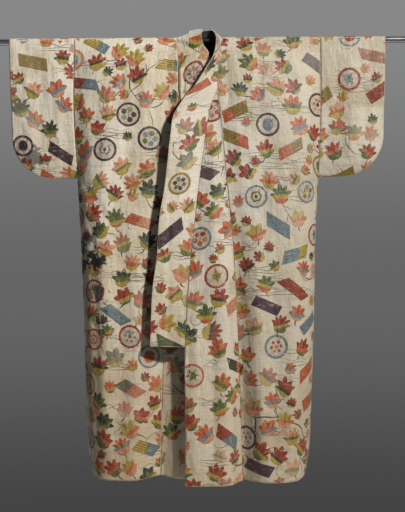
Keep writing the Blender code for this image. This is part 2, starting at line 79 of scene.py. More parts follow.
def linear(red: int, green: int, blue: int) -> Colour:
    """A colour given as it looks on a screen, 0 to 255, as the shader's linear values."""
    return tuple((c / 255 / 12.92 if c < 11 else ((c / 255 + 0.055) / 1.055) ** 2.4)
                 for c in (red, green, blue))


def smooth(x: Array | float) -> Array:
    """An S curve from 0 to 1 as x goes from 0 to 1."""
    x = np.clip(x, 0.0, 1.0)
    return x * x * (3 - 2 * x)


def curve(xs: Sequence[float], ys: Sequence[float], x: Array) -> Array:
    """A smooth curve through knots with rising xs, read at x and held at its ends."""
    xs, ys = np.asarray(xs, float), np.asarray(ys, float)
    high = np.minimum(np.arange(len(xs)) + 1, len(xs) - 1)
    low = np.maximum(np.arange(len(xs)) - 1, 0)
    slopes = (ys[high] - ys[low]) / (xs[high] - xs[low])
    x = np.clip(x, xs[0], xs[-1])
    i = np.clip(np.searchsorted(xs, x, side="left") - 1, 0, len(xs) - 2)
    width = xs[i + 1] - xs[i]
    return hermite(ys[i], ys[i + 1], slopes[i] * width, slopes[i + 1] * width, (x - xs[i]) / width)


def hermite(p: Array, q: Array, m: Array, n: Array, t: Array) -> Array:
    """The cubic from p to q with end tangents m and n."""
    t2 = t * t
    t3 = t2 * t
    return (2 * t3 - 3 * t2 + 1) * p + (t3 - 2 * t2 + t) * m + (3 * t2 - 2 * t3) * q + (t3 - t2) * n


def unit(vectors: Array) -> Array:
    """Vectors of length 1."""
    return vectors / np.maximum(np.linalg.norm(vectors, axis=-1, keepdims=True), 1e-12)


class Front(NamedTuple):
    """A level section of one front: its free edge, two points on the overlap, the overlap's seam,
    then the panel to the front corner. Every entry but z is a pair of x and y."""

    z: float
    edge: tuple[float, float]
    middle: tuple[float, float]
    ridge: tuple[float, float]
    seam: tuple[float, float]
    flank: tuple[float, float]
    face: tuple[float, float]
    corner: tuple[float, float]


class Side(NamedTuple):
    """How far out the side line lies on the left and right, and its y."""

    z: float
    left: float
    right: float
    y: float


class Half(NamedTuple):
    """Half the distance between the front and back edges of an opening."""

    z: float
    half: float


class Back(NamedTuple):
    """A level section of the back: each point's x is a share of the distance to the side line."""

    z: float
    corner_share: float
    corner_y: float
    face_share: float
    face_y: float
    middle_share: float
    middle_y: float
    centre_y: float


class Band(NamedTuple):
    """A station on the seam that carries the collar, and the place of its free edge."""

    station: float
    x: float
    y: float
    z: float


LEFT_FRONT = (
    Front(0.00, (0.081, -0.0109), (0.082, -0.0109), (0.083, -0.0109), (0.084, -0.0109),
          (0.15, -0.0109), (0.27, -0.0109), (0.375, -0.0109)),
    Front(-0.05, (0.0746, -0.034), (0.0756, -0.034), (0.0766, -0.034), (0.0776, -0.034),
          (0.1596, -0.036), (0.2796, -0.034), (0.3696, -0.026)),
    Front(-0.10, (0.0703, -0.046), (0.0713, -0.046), (0.0723, -0.046), (0.0733, -0.046),
          (0.1593, -0.056), (0.2793, -0.053), (0.3693, -0.040)),
    Front(-0.18, (0.0667, -0.062), (0.0677, -0.062), (0.0687, -0.062), (0.0697, -0.062),
          (0.1637, -0.076), (0.2787, -0.072), (0.3707, -0.052)),
    Front(-0.25, (0.0422, -0.070), (0.0532, -0.0715), (0.0652, -0.073), (0.0762, -0.074),
          (0.1682, -0.085), (0.2782, -0.080), (0.3712, -0.060)),
    Front(-0.48, (0.0065, -0.092), (0.0365, -0.096), (0.0685, -0.097), (0.0965, -0.094),
          (0.1685, -0.102), (0.2765, -0.095), (0.3715, -0.072)),
    Front(-0.70, (-0.021, -0.105), (0.025, -0.110), (0.08, -0.110), (0.117, -0.090),
          (0.173, -0.104), (0.275, -0.100), (0.367, -0.076)),
    Front(-0.90, (-0.0415, -0.112), (0.0185, -0.116), (0.0905, -0.115), (0.1285, -0.080),
          (0.1835, -0.104), (0.2785, -0.101), (0.3635, -0.078)),
    Front(-1.07, (-0.0497, -0.115), (0.0143, -0.119), (0.0963, -0.117), (0.1343, -0.076),
          (0.1973, -0.105), (0.2823, -0.101), (0.3593, -0.078)),
    Front(-1.27, (-0.0511, -0.115), (0.0129, -0.120), (0.0989, -0.118), (0.1409, -0.064),
          (0.2089, -0.106), (0.2859, -0.101), (0.3519, -0.077)),
    Front(-1.54, (-0.0531, -0.114), (0.0109, -0.121), (0.0989, -0.117), (0.1469, -0.058),
          (0.2189, -0.106), (0.2869, -0.100), (0.3389, -0.072)),
)
RIGHT_FRONT = (
    Front(0.00, (-0.067, -0.0109), (-0.068, -0.0109), (-0.069, -0.0109), (-0.07, -0.0109),
          (-0.15, -0.0109), (-0.27, -0.0109), (-0.375, -0.0109)),
    Front(-0.05, (-0.0654, -0.032), (-0.0664, -0.032), (-0.0674, -0.032), (-0.0684, -0.032),
          (-0.1604, -0.034), (-0.2804, -0.032), (-0.3704, -0.025)),
    Front(-0.10, (-0.0647, -0.040), (-0.0657, -0.040), (-0.0667, -0.040), (-0.0677, -0.040),
          (-0.1607, -0.048), (-0.2807, -0.046), (-0.3707, -0.036)),
    Front(-0.18, (-0.0653, -0.045), (-0.0663, -0.045), (-0.0673, -0.045), (-0.0683, -0.045),
          (-0.1613, -0.056), (-0.2813, -0.054), (-0.3713, -0.042)),
    Front(-0.25, (-0.0498, -0.046), (-0.0578, -0.0463), (-0.0658, -0.0467), (-0.0738, -0.047),
          (-0.1668, -0.060), (-0.2818, -0.058), (-0.3728, -0.046)),
    Front(-0.48, (-0.0165, -0.049), (-0.0395, -0.050), (-0.0645, -0.050), (-0.0895, -0.050),
          (-0.1755, -0.068), (-0.2835, -0.068), (-0.3745, -0.056)),
    Front(-0.70, (0.006, -0.050), (-0.03, -0.052), (-0.068, -0.052), (-0.105, -0.052),
          (-0.187, -0.072), (-0.285, -0.073), (-0.371, -0.060)),
    Front(-0.90, (0.0225, -0.048), (-0.0245, -0.053), (-0.0715, -0.054), (-0.1185, -0.050),
          (-0.1985, -0.074), (-0.2865, -0.075), (-0.3675, -0.061)),
    Front(-1.07, (0.0323, -0.047), (-0.0227, -0.054), (-0.0757, -0.055), (-0.1257, -0.046),
          (-0.2047, -0.076), (-0.2877, -0.077), (-0.3647, -0.061)),
    Front(-1.27, (0.0359, -0.047), (-0.0241, -0.056), (-0.0791, -0.056), (-0.1331, -0.040),
          (-0.2121, -0.078), (-0.2891, -0.079), (-0.3601, -0.060)),
    Front(-1.54, (0.0369, -0.046), (-0.0261, -0.060), (-0.0811, -0.058), (-0.1411, -0.034),
          (-0.2201, -0.080), (-0.2861, -0.080), (-0.3461, -0.058)),
)
SIDE_LINE = (
    Side(0.00, 0.434, 0.434, 0.000),
    Side(-0.25, 0.4322, 0.4358, 0.000),
    Side(-0.48, 0.4225, 0.4245, 0.000),
    Side(-0.70, 0.4105, 0.4145, 0.004),
    Side(-0.90, 0.407, 0.4085, 0.010),
    Side(-1.07, 0.4013, 0.4047, 0.013),
    Side(-1.27, 0.3939, 0.4011, 0.018),
    Side(-1.44, 0.3856, 0.3934, 0.023),
    Side(-1.54, 0.3689, 0.3771, 0.026),
)
ARMHOLE = (
    Half(0.00, 0.0109), Half(-0.05, 0.0125), Half(-0.15, 0.0160), Half(-0.25, 0.0180),
    Half(-0.35, 0.0170), Half(-0.43, 0.0120), Half(-0.465, 0.0060), Half(-0.482, 0.0),
)
CUFF = (
    Half(0.00, 0.0109), Half(-0.06, 0.0125), Half(-0.13, 0.0130), Half(-0.19, 0.0090),
    Half(-0.22, 0.0040), Half(-0.235, 0.0),
)
BACK = (
    Back(0.00, 0.864, 0.0109, 0.62, 0.0109, 0.32, 0.0109, 0.0109),
    Back(-0.05, 0.860, 0.018, 0.62, 0.021, 0.32, 0.022, 0.022),
    Back(-0.12, 0.860, 0.029, 0.62, 0.034, 0.32, 0.035, 0.036),
    Back(-0.25, 0.865, 0.040, 0.63, 0.046, 0.32, 0.047, 0.048),
    Back(-0.48, 0.878, 0.050, 0.64, 0.058, 0.32, 0.058, 0.060),
    Back(-0.70, 0.905, 0.060, 0.66, 0.067, 0.33, 0.064, 0.068),
    Back(-0.90, 0.910, 0.068, 0.67, 0.073, 0.33, 0.066, 0.073),
    Back(-1.07, 0.911, 0.073, 0.67, 0.079, 0.34, 0.068, 0.078),
    Back(-1.27, 0.912, 0.079, 0.68, 0.086, 0.34, 0.070, 0.083),
    Back(-1.54, 0.922, 0.086, 0.68, 0.093, 0.35, 0.070, 0.088),
)
LEFT_BAND = (
    Band(-0.037, 0.001, 0.037, 0.038),
    Band(-0.030, 0.034, 0.033, 0.041),
    Band(-0.015, 0.05, 0.016, 0.041),
    Band(0.000, 0.057, -0.008, 0.034),
    Band(0.027, 0.0665, -0.058, 0.004),
    Band(0.067, 0.0576, -0.080, -0.058),
    Band(0.117, 0.0232, -0.093, -0.118),
    Band(0.167, -0.0092, -0.097, -0.168),
    Band(0.217, -0.0415, -0.100, -0.206),
    Band(0.277, -0.083, -0.103, -0.272),
    Band(0.337, -0.0934, -0.106, -0.330),
    Band(0.527, -0.1157, -0.110, -0.516),
    Band(0.649, -0.1356, -0.114, -0.636),
    Band(0.780, -0.1445, -0.117, -0.763),
    Band(0.897, -0.1603, -0.119, -0.878),
    Band(1.0891, -0.1697, -0.121, -1.070),
)
RIGHT_BAND = (
    Band(-0.037, -0.001, 0.037, 0.038),
    Band(-0.030, -0.022, 0.034, 0.042),
    Band(-0.015, -0.006, 0.018, 0.042),
    Band(0.000, 0.018, -0.004, 0.040),
    Band(0.027, 0.015, -0.030, 0.016),
    Band(0.067, 0.0229, -0.040, -0.020),
    Band(0.117, 0.0436, -0.045, -0.058),
    Band(0.187, 0.0549, -0.047, -0.158),
    Band(0.267, 0.0653, -0.049, -0.236),
    Band(0.367, 0.0836, -0.052, -0.337),
    Band(0.517, 0.1045, -0.053, -0.490),
    Band(0.649, 0.1205, -0.053, -0.625),
    Band(0.780, 0.1305, -0.052, -0.757),
    Band(0.897, 0.1427, -0.051, -0.876),
    Band(1.0891, 0.1523, -0.050, -1.070),
)


def read(table: Sequence[NamedTuple], name: str, z: Array, part: int | None = None) -> Array:
    """A named column of a table by height, read at z."""
    values = [getattr(row, name) for row in table]
    if part is not None:
        values = [value[part] for value in values]
    return curve([-row.z for row in table], values, -z)


class Fold(NamedTuple):
    """A soft crease seen face on: its two ends, how wide it is, and how far it stands out of the
    cloth, or with a minus sign sinks into it."""

    x0: float
    z0: float
    x1: float
    z1: float
    width: float
    depth: float


FRONT_FOLDS = (
    # the wearer's right front, from the shoulder to the hem
    Fold(-0.100, -0.04, -0.115, -0.34, 0.012, -0.0028),
    Fold(-0.165, -0.03, -0.200, -0.52, 0.022, 0.0030),
    Fold(-0.262, -0.05, -0.245, -0.62, 0.018, -0.0032),
    Fold(-0.325, -0.10, -0.318, -0.86, 0.020, 0.0034),
    Fold(-0.372, -0.46, -0.352, -1.50, 0.013, -0.0060),
    Fold(-0.338, -0.70, -0.318, -1.56, 0.022, 0.0045),
    Fold(-0.402, -0.49, -0.300, -0.66, 0.012, -0.0032),
    Fold(-0.398, -0.52, -0.330, -0.80, 0.012, 0.0030),
    Fold(-0.268, -0.64, -0.276, -1.44, 0.024, -0.0042),
    Fold(-0.215, -0.78, -0.226, -1.56, 0.020, 0.0036),
    Fold(-0.350, -1.30, -0.190, -1.335, 0.030, 0.0050),
    Fold(-0.340, -1.375, -0.205, -1.41, 0.022, -0.0042),
    Fold(-0.172, -1.10, -0.160, -1.57, 0.014, 0.0035),
    Fold(-0.110, -1.12, -0.100, -1.57, 0.016, 0.0040),
    Fold(-0.030, -1.00, -0.070, -1.57, 0.012, -0.0030),
    # the wearer's left front
    Fold(0.095, -0.01, 0.112, -0.27, 0.010, -0.0030),
    Fold(0.135, -0.03, 0.160, -0.60, 0.020, 0.0028),
    Fold(0.215, -0.04, 0.232, -0.72, 0.020, -0.0032),
    Fold(0.300, -0.08, 0.288, -0.94, 0.024, 0.0032),
    Fold(0.385, -0.47, 0.345, -1.50, 0.014, -0.0058),
    Fold(0.402, -0.49, 0.318, -0.68, 0.012, -0.0034),
    Fold(0.400, -0.53, 0.345, -0.84, 0.012, 0.0030),
    Fold(0.330, -0.74, 0.312, -1.56, 0.020, 0.0042),
    Fold(0.258, -0.80, 0.262, -1.57, 0.022, -0.0045),
    Fold(0.200, -0.62, 0.218, -1.57, 0.018, 0.0040),
    Fold(0.020, -0.28, -0.020, -0.86, 0.018, -0.0026),
    Fold(0.060, -0.38, 0.030, -1.02, 0.020, 0.0030),
    Fold(0.052, -0.86, 0.038, -1.58, 0.016, -0.0044),
    Fold(-0.012, -0.90, -0.022, -1.58, 0.016, 0.0034),
    Fold(-0.150, -0.868, 0.120, -0.874, 0.007, 0.0012),
    # the collar's long band
    Fold(-0.052, -0.24, -0.062, -0.70, 0.014, 0.0026),
    Fold(-0.095, -0.52, -0.112, -1.06, 0.012, -0.0024),
)
BACK_FOLDS = (
    Fold(-0.060, -0.05, -0.085, -0.80, 0.022, 0.0032),
    Fold(-0.145, -0.06, -0.130, -1.02, 0.020, -0.0040),
    Fold(-0.222, -0.10, -0.236, -1.56, 0.026, 0.0048),
    Fold(-0.310, -0.20, -0.292, -1.30, 0.020, -0.0042),
    Fold(-0.398, -0.50, -0.320, -0.72, 0.012, -0.0036),
    Fold(-0.365, -0.62, -0.345, -1.56, 0.018, 0.0040),
    Fold(-0.180, -0.90, -0.172, -1.57, 0.014, -0.0036),
    Fold(0.048, -0.06, 0.070, -0.92, 0.020, -0.0034),
    Fold(0.128, -0.05, 0.150, -0.70, 0.024, 0.0036),
    Fold(0.205, -0.14, 0.190, -1.56, 0.022, -0.0046),
    Fold(0.282, -0.12, 0.300, -1.20, 0.018, 0.0038),
    Fold(0.400, -0.50, 0.330, -0.76, 0.012, 0.0034),
    Fold(0.370, -0.66, 0.348, -1.56, 0.016, -0.0040),
    Fold(0.110, -0.80, 0.102, -1.57, 0.018, 0.0038),
    Fold(0.012, -0.60, -0.010, -1.56, 0.014, -0.0026),
)
NECK_FOLDS = (
    # the turned crease over the right collar, and the pressed pleat below it
    Fold(-0.0804, -0.0040, -0.0062, -0.0318, 0.0075, -0.0036),
    Fold(-0.0062, -0.0318, 0.0468, -0.0495, 0.0065, -0.0030),
    Fold(-0.0800, 0.0110, -0.0062, -0.0170, 0.0090, 0.0032),
    Fold(-0.0565, -0.0800, -0.0580, -0.2500, 0.0065, 0.0048),
    Fold(-0.0680, -0.0800, -0.0690, -0.2500, 0.0040, -0.0038),
    Fold(-0.0440, -0.0900, -0.0470, -0.2100, 0.0040, -0.0036),
)
SLEEVE_FOLDS = (
    Fold(-0.610, -0.03, -0.585, -0.36, 0.016, 0.0026),
    Fold(-0.545, -0.02, -0.560, -0.44, 0.020, -0.0030),
    Fold(-0.495, -0.05, -0.490, -0.46, 0.014, 0.0026),
    Fold(-0.625, -0.22, -0.500, -0.40, 0.018, -0.0020),
    Fold(0.608, -0.02, 0.590, -0.40, 0.018, -0.0028),
    Fold(0.552, -0.04, 0.540, -0.44, 0.018, 0.0030),
    Fold(0.492, -0.03, 0.500, -0.45, 0.014, -0.0026),
    Fold(0.630, -0.28, 0.515, -0.42, 0.016, 0.0020),
)


@dataclass(frozen=True)
class Drape:
    """The folds of the hanging cloth, as a distance out of its plain form.

    Attributes:
        ripple: height of the long uneven ripples between the folds.
        pucker: height of the short puckers along a seam.
        pucker_length: distance from one pucker to the next.
        pucker_reach: how far the puckers reach from their seam.
    """

    ripple: float = 0.0017
    pucker: float = 0.0015
    pucker_length: float = 0.023
    pucker_reach: float = 0.011

    def ripples(self, x: Array, z: Array, seed: int) -> Array:
        """Long ripples that run mostly down the cloth."""
        rng = random.Random(seed)
        total = np.zeros_like(x)
        for length in (0.42, 0.31, 0.23, 0.17, 0.13, 0.10):
            tilt = rng.uniform(-0.45, 0.45)
            phase = rng.uniform(0, 2 * math.pi)
            slow = rng.uniform(0.3, 0.9) / 0.6
            wave = np.sin(2 * math.pi * (x + tilt * z) / length + phase)
            total += wave * np.sin(2 * math.pi * slow * z + 2 * phase) * length / 0.3
        return total * self.ripple

    def folds(self, table: Sequence[Fold], x: Array, z: Array) -> Array:
        """The creases of a table, each fading at both ends."""
        total = np.zeros_like(x)
        for fold in table:
            run = np.array([fold.x1 - fold.x0, fold.z1 - fold.z0])
            length = float(run @ run)
            t = ((x - fold.x0) * run[0] + (z - fold.z0) * run[1]) / length
            bend = 0.18 * fold.width * np.sin(9 * t + 40 * fold.x0)
            away = np.hypot(x - fold.x0 - run[0] * np.clip(t, 0, 1) - bend,
                            z - fold.z0 - run[1] * np.clip(t, 0, 1))
            fade = smooth(t / 0.2 + 0.1) * smooth((1 - t) / 0.2 + 0.1)
            total += fold.depth * fade * np.exp(-(away / fold.width) ** 2)
        return total

    def puckers(self, distance: Array, along: Array, seed: int) -> Array:
        """Short puckers at a seam, uneven in height."""
        rng = random.Random(seed)
        phase = rng.uniform(0, 6)
        wave = np.sin(2 * math.pi * along / self.pucker_length + phase + 1.4 * np.sin(along * 31 + phase))
        height = 0.65 + 0.35 * np.sin(along * 19 + 2 * phase)
        return self.pucker * wave * height * np.exp(-distance / self.pucker_reach)


@dataclass(frozen=True)
class RobeForm:
    """The plain form of the hanging cloth: the faces of the solid model that it follows."""

    cloth: float = 0.002
    seam_gap: float = 0.0003
    hang_radius: float = 0.0109
    half_shoulders: float = 0.434
    sleeve_width: float = 0.229
    sleeve_drop: float = 0.482
    sleeve_corner: float = 0.150
    sleeve_taper: float = 0.007
    sleeve_swell: float = 0.006
    cuff_opening: float = 0.235
    front_drop: float = 1.538
    overlap_drop: float = 1.552
    back_drop: float = 1.542
    last_drop: float = 1.540
    collar_end: float = 1.072
    overlap_tip: float = 0.180
    neck_cut_depth: float = 0.037
    collar_bulge: float = 0.004
    step: float = 0.0005
    neck_half: dict[int, float] = field(default_factory=lambda: {1: 0.084, -1: 0.070})
    side_lift: dict[int, float] = field(default_factory=lambda: {1: 0.030, -1: 0.026})
    valley_lift: dict[int, float] = field(default_factory=lambda: {1: 0.010, -1: 0.012})

    @property
    def over_rod(self) -> float:
        """The cloth's length from the ridge to the level of the rod's axis."""
        return self.hang_radius * math.pi / 2

    def side_line(self, side: int, z: Array) -> tuple[Array, Array]:
        """x and y of the armhole's edge and, below it, the side seam."""
        return side * read(SIDE_LINE, SIDES[side], z), read(SIDE_LINE, "y", z)

    def section(self, side: int, z: Array, station: Array) -> Array:
        """Control points of level sections, from the overlap's free edge to the centre back."""
        table = LEFT_FRONT if side > 0 else RIGHT_FRONT
        points = [(read(table, name, z, 0), read(table, name, z, 1)) for name in Front._fields[1:]]
        side_x, side_y = self.side_line(side, z)
        half = np.maximum(read(ARMHOLE, "half", z), self.seam_gap / 2)
        points += [(side_x, side_y - half), (side_x, side_y + half)]
        reach = np.minimum(-station / self.neck_cut_depth, 1.0)
        neck = side * self.neck_half[side] * np.sqrt(np.maximum(1 - reach ** 2, 0.0))
        inner = np.where(station < 0, np.where(reach >= 1, side * self.seam_gap / 2, neck), 0.0)
        for part in ("corner", "face", "middle"):
            out = read(BACK, f"{part}_share", z) * np.abs(side_x)
            x = inner + side * out * (np.abs(side_x) - np.abs(inner)) / np.abs(side_x)
            points.append((x, read(BACK, f"{part}_y", z)))
        points.append((inner, read(BACK, "centre_y", z)))
        return np.stack([np.stack(np.broadcast_arrays(*p), -1) for p in points], -2)

    @staticmethod
    def between(points: Array, first: int, last: int, share: Array, before: Array,
                after: Array) -> Array:
        """Points of the smooth curves through points[first..last], share of the way along."""
        knots = np.concatenate([before[..., None, :], points[..., first:last + 1, :],
                                after[..., None, :]], -2)
        gaps = np.maximum(np.linalg.norm(np.diff(knots, axis=-2), axis=-1), 1e-6)
        spans = np.concatenate([np.zeros_like(gaps[..., :1]), np.cumsum(gaps, -1)], -1)
        place = spans[..., 1] + share * (spans[..., -2] - spans[..., 1])
        i = np.clip((place[..., None] > spans[..., 1:-1] + 1e-12).sum(-1), 1, knots.shape[-2] - 3)

        def pick(values: Array, k: Array) -> Array:
            """Each row's entry k."""
            if values.ndim > k.ndim + 1:
                return np.take_along_axis(values, k[..., None, None], -2)[..., 0, :]
            return np.take_along_axis(values, k[..., None], -1)

        width = pick(spans, i + 1) - pick(spans, i)
        m = (pick(knots, i + 1) - pick(knots, i - 1)) * width / (pick(spans, i + 1) - pick(spans, i - 1))
        n = (pick(knots, i + 2) - pick(knots, i)) * width / (pick(spans, i + 2) - pick(spans, i))
        return hermite(pick(knots, i), pick(knots, i + 1), m, n,
                       (place[..., None] - pick(spans, i)) / width)

    def body(self, side: int, piece: str, share: Array, station: Array) -> Array:
        """Points of the body's inner face. piece is overlap, front or back; share runs from the
        free edge to the overlap's seam, from that seam to the side, or from side to centre."""
        share, station = np.broadcast_arrays(np.asarray(share, float), np.asarray(station, float))
        hang = np.abs(station) - self.over_rod
        z = np.where(hang > 0, -hang, 0.0)
        points = self.section(side, z, station)
        turn = smooth((-z - self.sleeve_drop + 0.07) / 0.09)[..., None]
        if piece == "overlap":
            xy = self.between(points, 0, 3, share, 2 * points[..., 0, :] - points[..., 1, :],
                              points[..., 4, :])
        elif piece == "front":
            sleeve = points[..., 7, :] + np.array([side * 0.05, 0.0])
            xy = self.between(points, 3, 7, share, points[..., 2, :],
                              sleeve + (points[..., 9, :] - sleeve) * turn)
        else:
            sleeve = points[..., 8, :] + np.array([side * 0.05, 0.0])
            beyond = np.stack([2 * points[..., 12, 0] - points[..., 11, 0], points[..., 11, 1]], -1)
            xy = self.between(points, 8, 12, share, sleeve + (points[..., 6, :] - sleeve) * turn,
                              beyond)
        return self.hung(xy[..., 0], xy[..., 1], z, station)

    def hung(self, x: Array, y: Array, z: Array, station: Array) -> Array:
        """Points hanging below the rod, or wrapped over it near the ridge."""
        angle = np.clip(station, -self.over_rod, self.over_rod) / self.hang_radius
        over = np.abs(station) < self.over_rod
        y = np.where(over, -self.hang_radius * np.sin(angle), y)
        z = np.where(over, self.hang_radius * np.cos(angle), z)
        return np.stack([x, y, z], -1)

    def hem_drop(self, side: int, piece: str, share: Array) -> Array:
        """How far a piece hangs below the rod at a share of its width."""
        if piece == "overlap":
            level = self.overlap_drop if side > 0 else self.front_drop
            return level - self.valley_lift[side] * share ** 3
        if piece == "front":
            level = self.overlap_drop - 0.006 if side > 0 else self.front_drop
            return (level - self.valley_lift[side] * (1 - share) ** 4
                    - self.side_lift[side] * share ** 5)
        return self.back_drop - self.side_lift[side] * (1 - share) ** 5

    def hem_scaled(self, station: Array, drop: Array) -> Array:
        """A station below the collar's end, stretched so that the cloth ends at drop."""
        start = self.over_rod + self.collar_end
        share = (np.abs(station) - start) / (self.last_drop - self.collar_end)
        return np.where(share > 0, np.sign(station) * (start + share * (drop - self.collar_end)),
                        station)

    def length(self, side: int, share: Array, station: Array) -> Array:
        """A whole length of the body, front and back: share runs from the side inwards."""
        front = self.body(side, "front", 1 - share,
                          self.hem_scaled(station, self.hem_drop(side, "front", 1 - share)))
        back = self.body(side, "back", share,
                         self.hem_scaled(station, self.hem_drop(side, "back", share)))
        return np.where((station >= 0)[..., None], front, back)

    def overlap(self, side: int, share: Array, station: Array) -> Array:
        """The narrow front panel: share runs from its free edge to its seam."""
        return self.body(side, "overlap", share,
                         self.hem_scaled(station, self.hem_drop(side, "overlap", share)))

    def panel_normal(self, side: int, piece: str, share: float, station: Array) -> Array:
        """The outward normal of a body panel, taken a little inside it at its edges."""
        share = min(max(share, 2 * self.step), 1 - 2 * self.step)
        station = np.where(station == 0, self.step, station)
        across = (self.body(side, piece, share + self.step, station)
                  - self.body(side, piece, share - self.step, station))
        down = (self.body(side, piece, share, station + self.step)
                - self.body(side, piece, share, station - self.step))
        turn = side if piece == "back" else -side
        return unit(np.cross(across, down)) * turn

    def carrier(self, side: int, station: Array) -> tuple[Array, Array, Array]:
        """What carries the collar: the seam point, the panel's normal there, and the direction
        out of the panel across the seam."""
        tip = self.over_rod + self.overlap_tip - 1e-6
        picks = ((station < 0, "back", 1.0, 0.97),
                 ((station >= 0) & (station < tip), "front", 0.0, 0.03),
                 (station >= tip, "overlap", 0.0, 0.05))
        edge = np.zeros(station.shape + (3,))
        normal, out = np.zeros_like(edge), np.zeros_like(edge)
        for mask, piece, share, inside in picks:
            s = station[mask]
            if not s.size:
                continue
            edge[mask] = self.body(side, piece, share, s)
            normal[mask] = self.panel_normal(side, piece, share, s)
            run = (self.body(side, piece, share, s + self.step)
                   - self.body(side, piece, share, s - self.step))
            away = unit(np.cross(normal[mask], run))
            sign = np.sign(((edge[mask] - self.body(side, piece, inside, s)) * away).sum(-1))
            out[mask] = away * sign[:, None]
        out[station <= -self.neck_cut_depth + self.step] = (0.0, 0.0, 1.0)
        return edge, normal, out

    def band_edge(self, side: int, station: Array) -> Array:
        """The free edge of the collar band."""
        rows = LEFT_BAND if side > 0 else RIGHT_BAND
        stations = [row.station for row in rows]
        return np.stack([curve(stations, [getattr(row, axis) for row in rows], station)
                         for axis in ("x", "y", "z")], -1)

    def collar(self, side: int, share: Array, station: Array) -> Array:
        """The collar band's inner face, from its seam to its free edge, softly rolled across."""
        share, station = np.broadcast_arrays(np.asarray(share, float), np.asarray(station, float))
        seam, _, out = self.carrier(side, station)
        start = seam + out * self.seam_gap
        roll = np.clip((station - 0.03) / 0.1, 0.0, 1.0) * self.collar_bulge
        point = start + (self.band_edge(side, station) - start) * share[..., None]
        point[..., 1] -= roll * np.sin(math.pi * share)
        return point

    def sleeve(self, side: int, share: Array, station: Array) -> Array:
        """The sleeve's inner face, from the armhole to its outer edge."""
        share, station = np.broadcast_arrays(np.asarray(share, float), np.asarray(station, float))
        hang = np.clip(np.abs(station) - self.over_rod, 0.0, self.sleeve_drop)
        z = -hang
        tip = self.half_shoulders + self.sleeve_width
        straight = self.sleeve_drop - self.sleeve_corner
        rise = np.clip((hang - straight) / self.sleeve_corner, 0.0, 1.0)
        outer = side * (tip - self.sleeve_taper * np.minimum(hang / straight, 1.0)
                        - self.sleeve_corner * (1 - np.sqrt(1 - rise ** 2)))
        seam_x = self.side_line(side, z)[0] + side * self.seam_gap
        x = seam_x + (outer - seam_x) * share
        inner_half = read(ARMHOLE, "half", z)
        outer_half = np.where(hang < self.cuff_opening, read(CUFF, "half", z), 0.0)
        swell = self.sleeve_swell * np.sin(math.pi * share) * np.minimum(hang / 0.05, 1.0)
        swell = swell * np.minimum((self.sleeve_drop - hang) / 0.05, 1.0)
        half = np.maximum(inner_half + (outer_half - inner_half) * share + swell, self.seam_gap / 2)
        return self.hung(x, np.where(station > 0, -half, half), z, station)


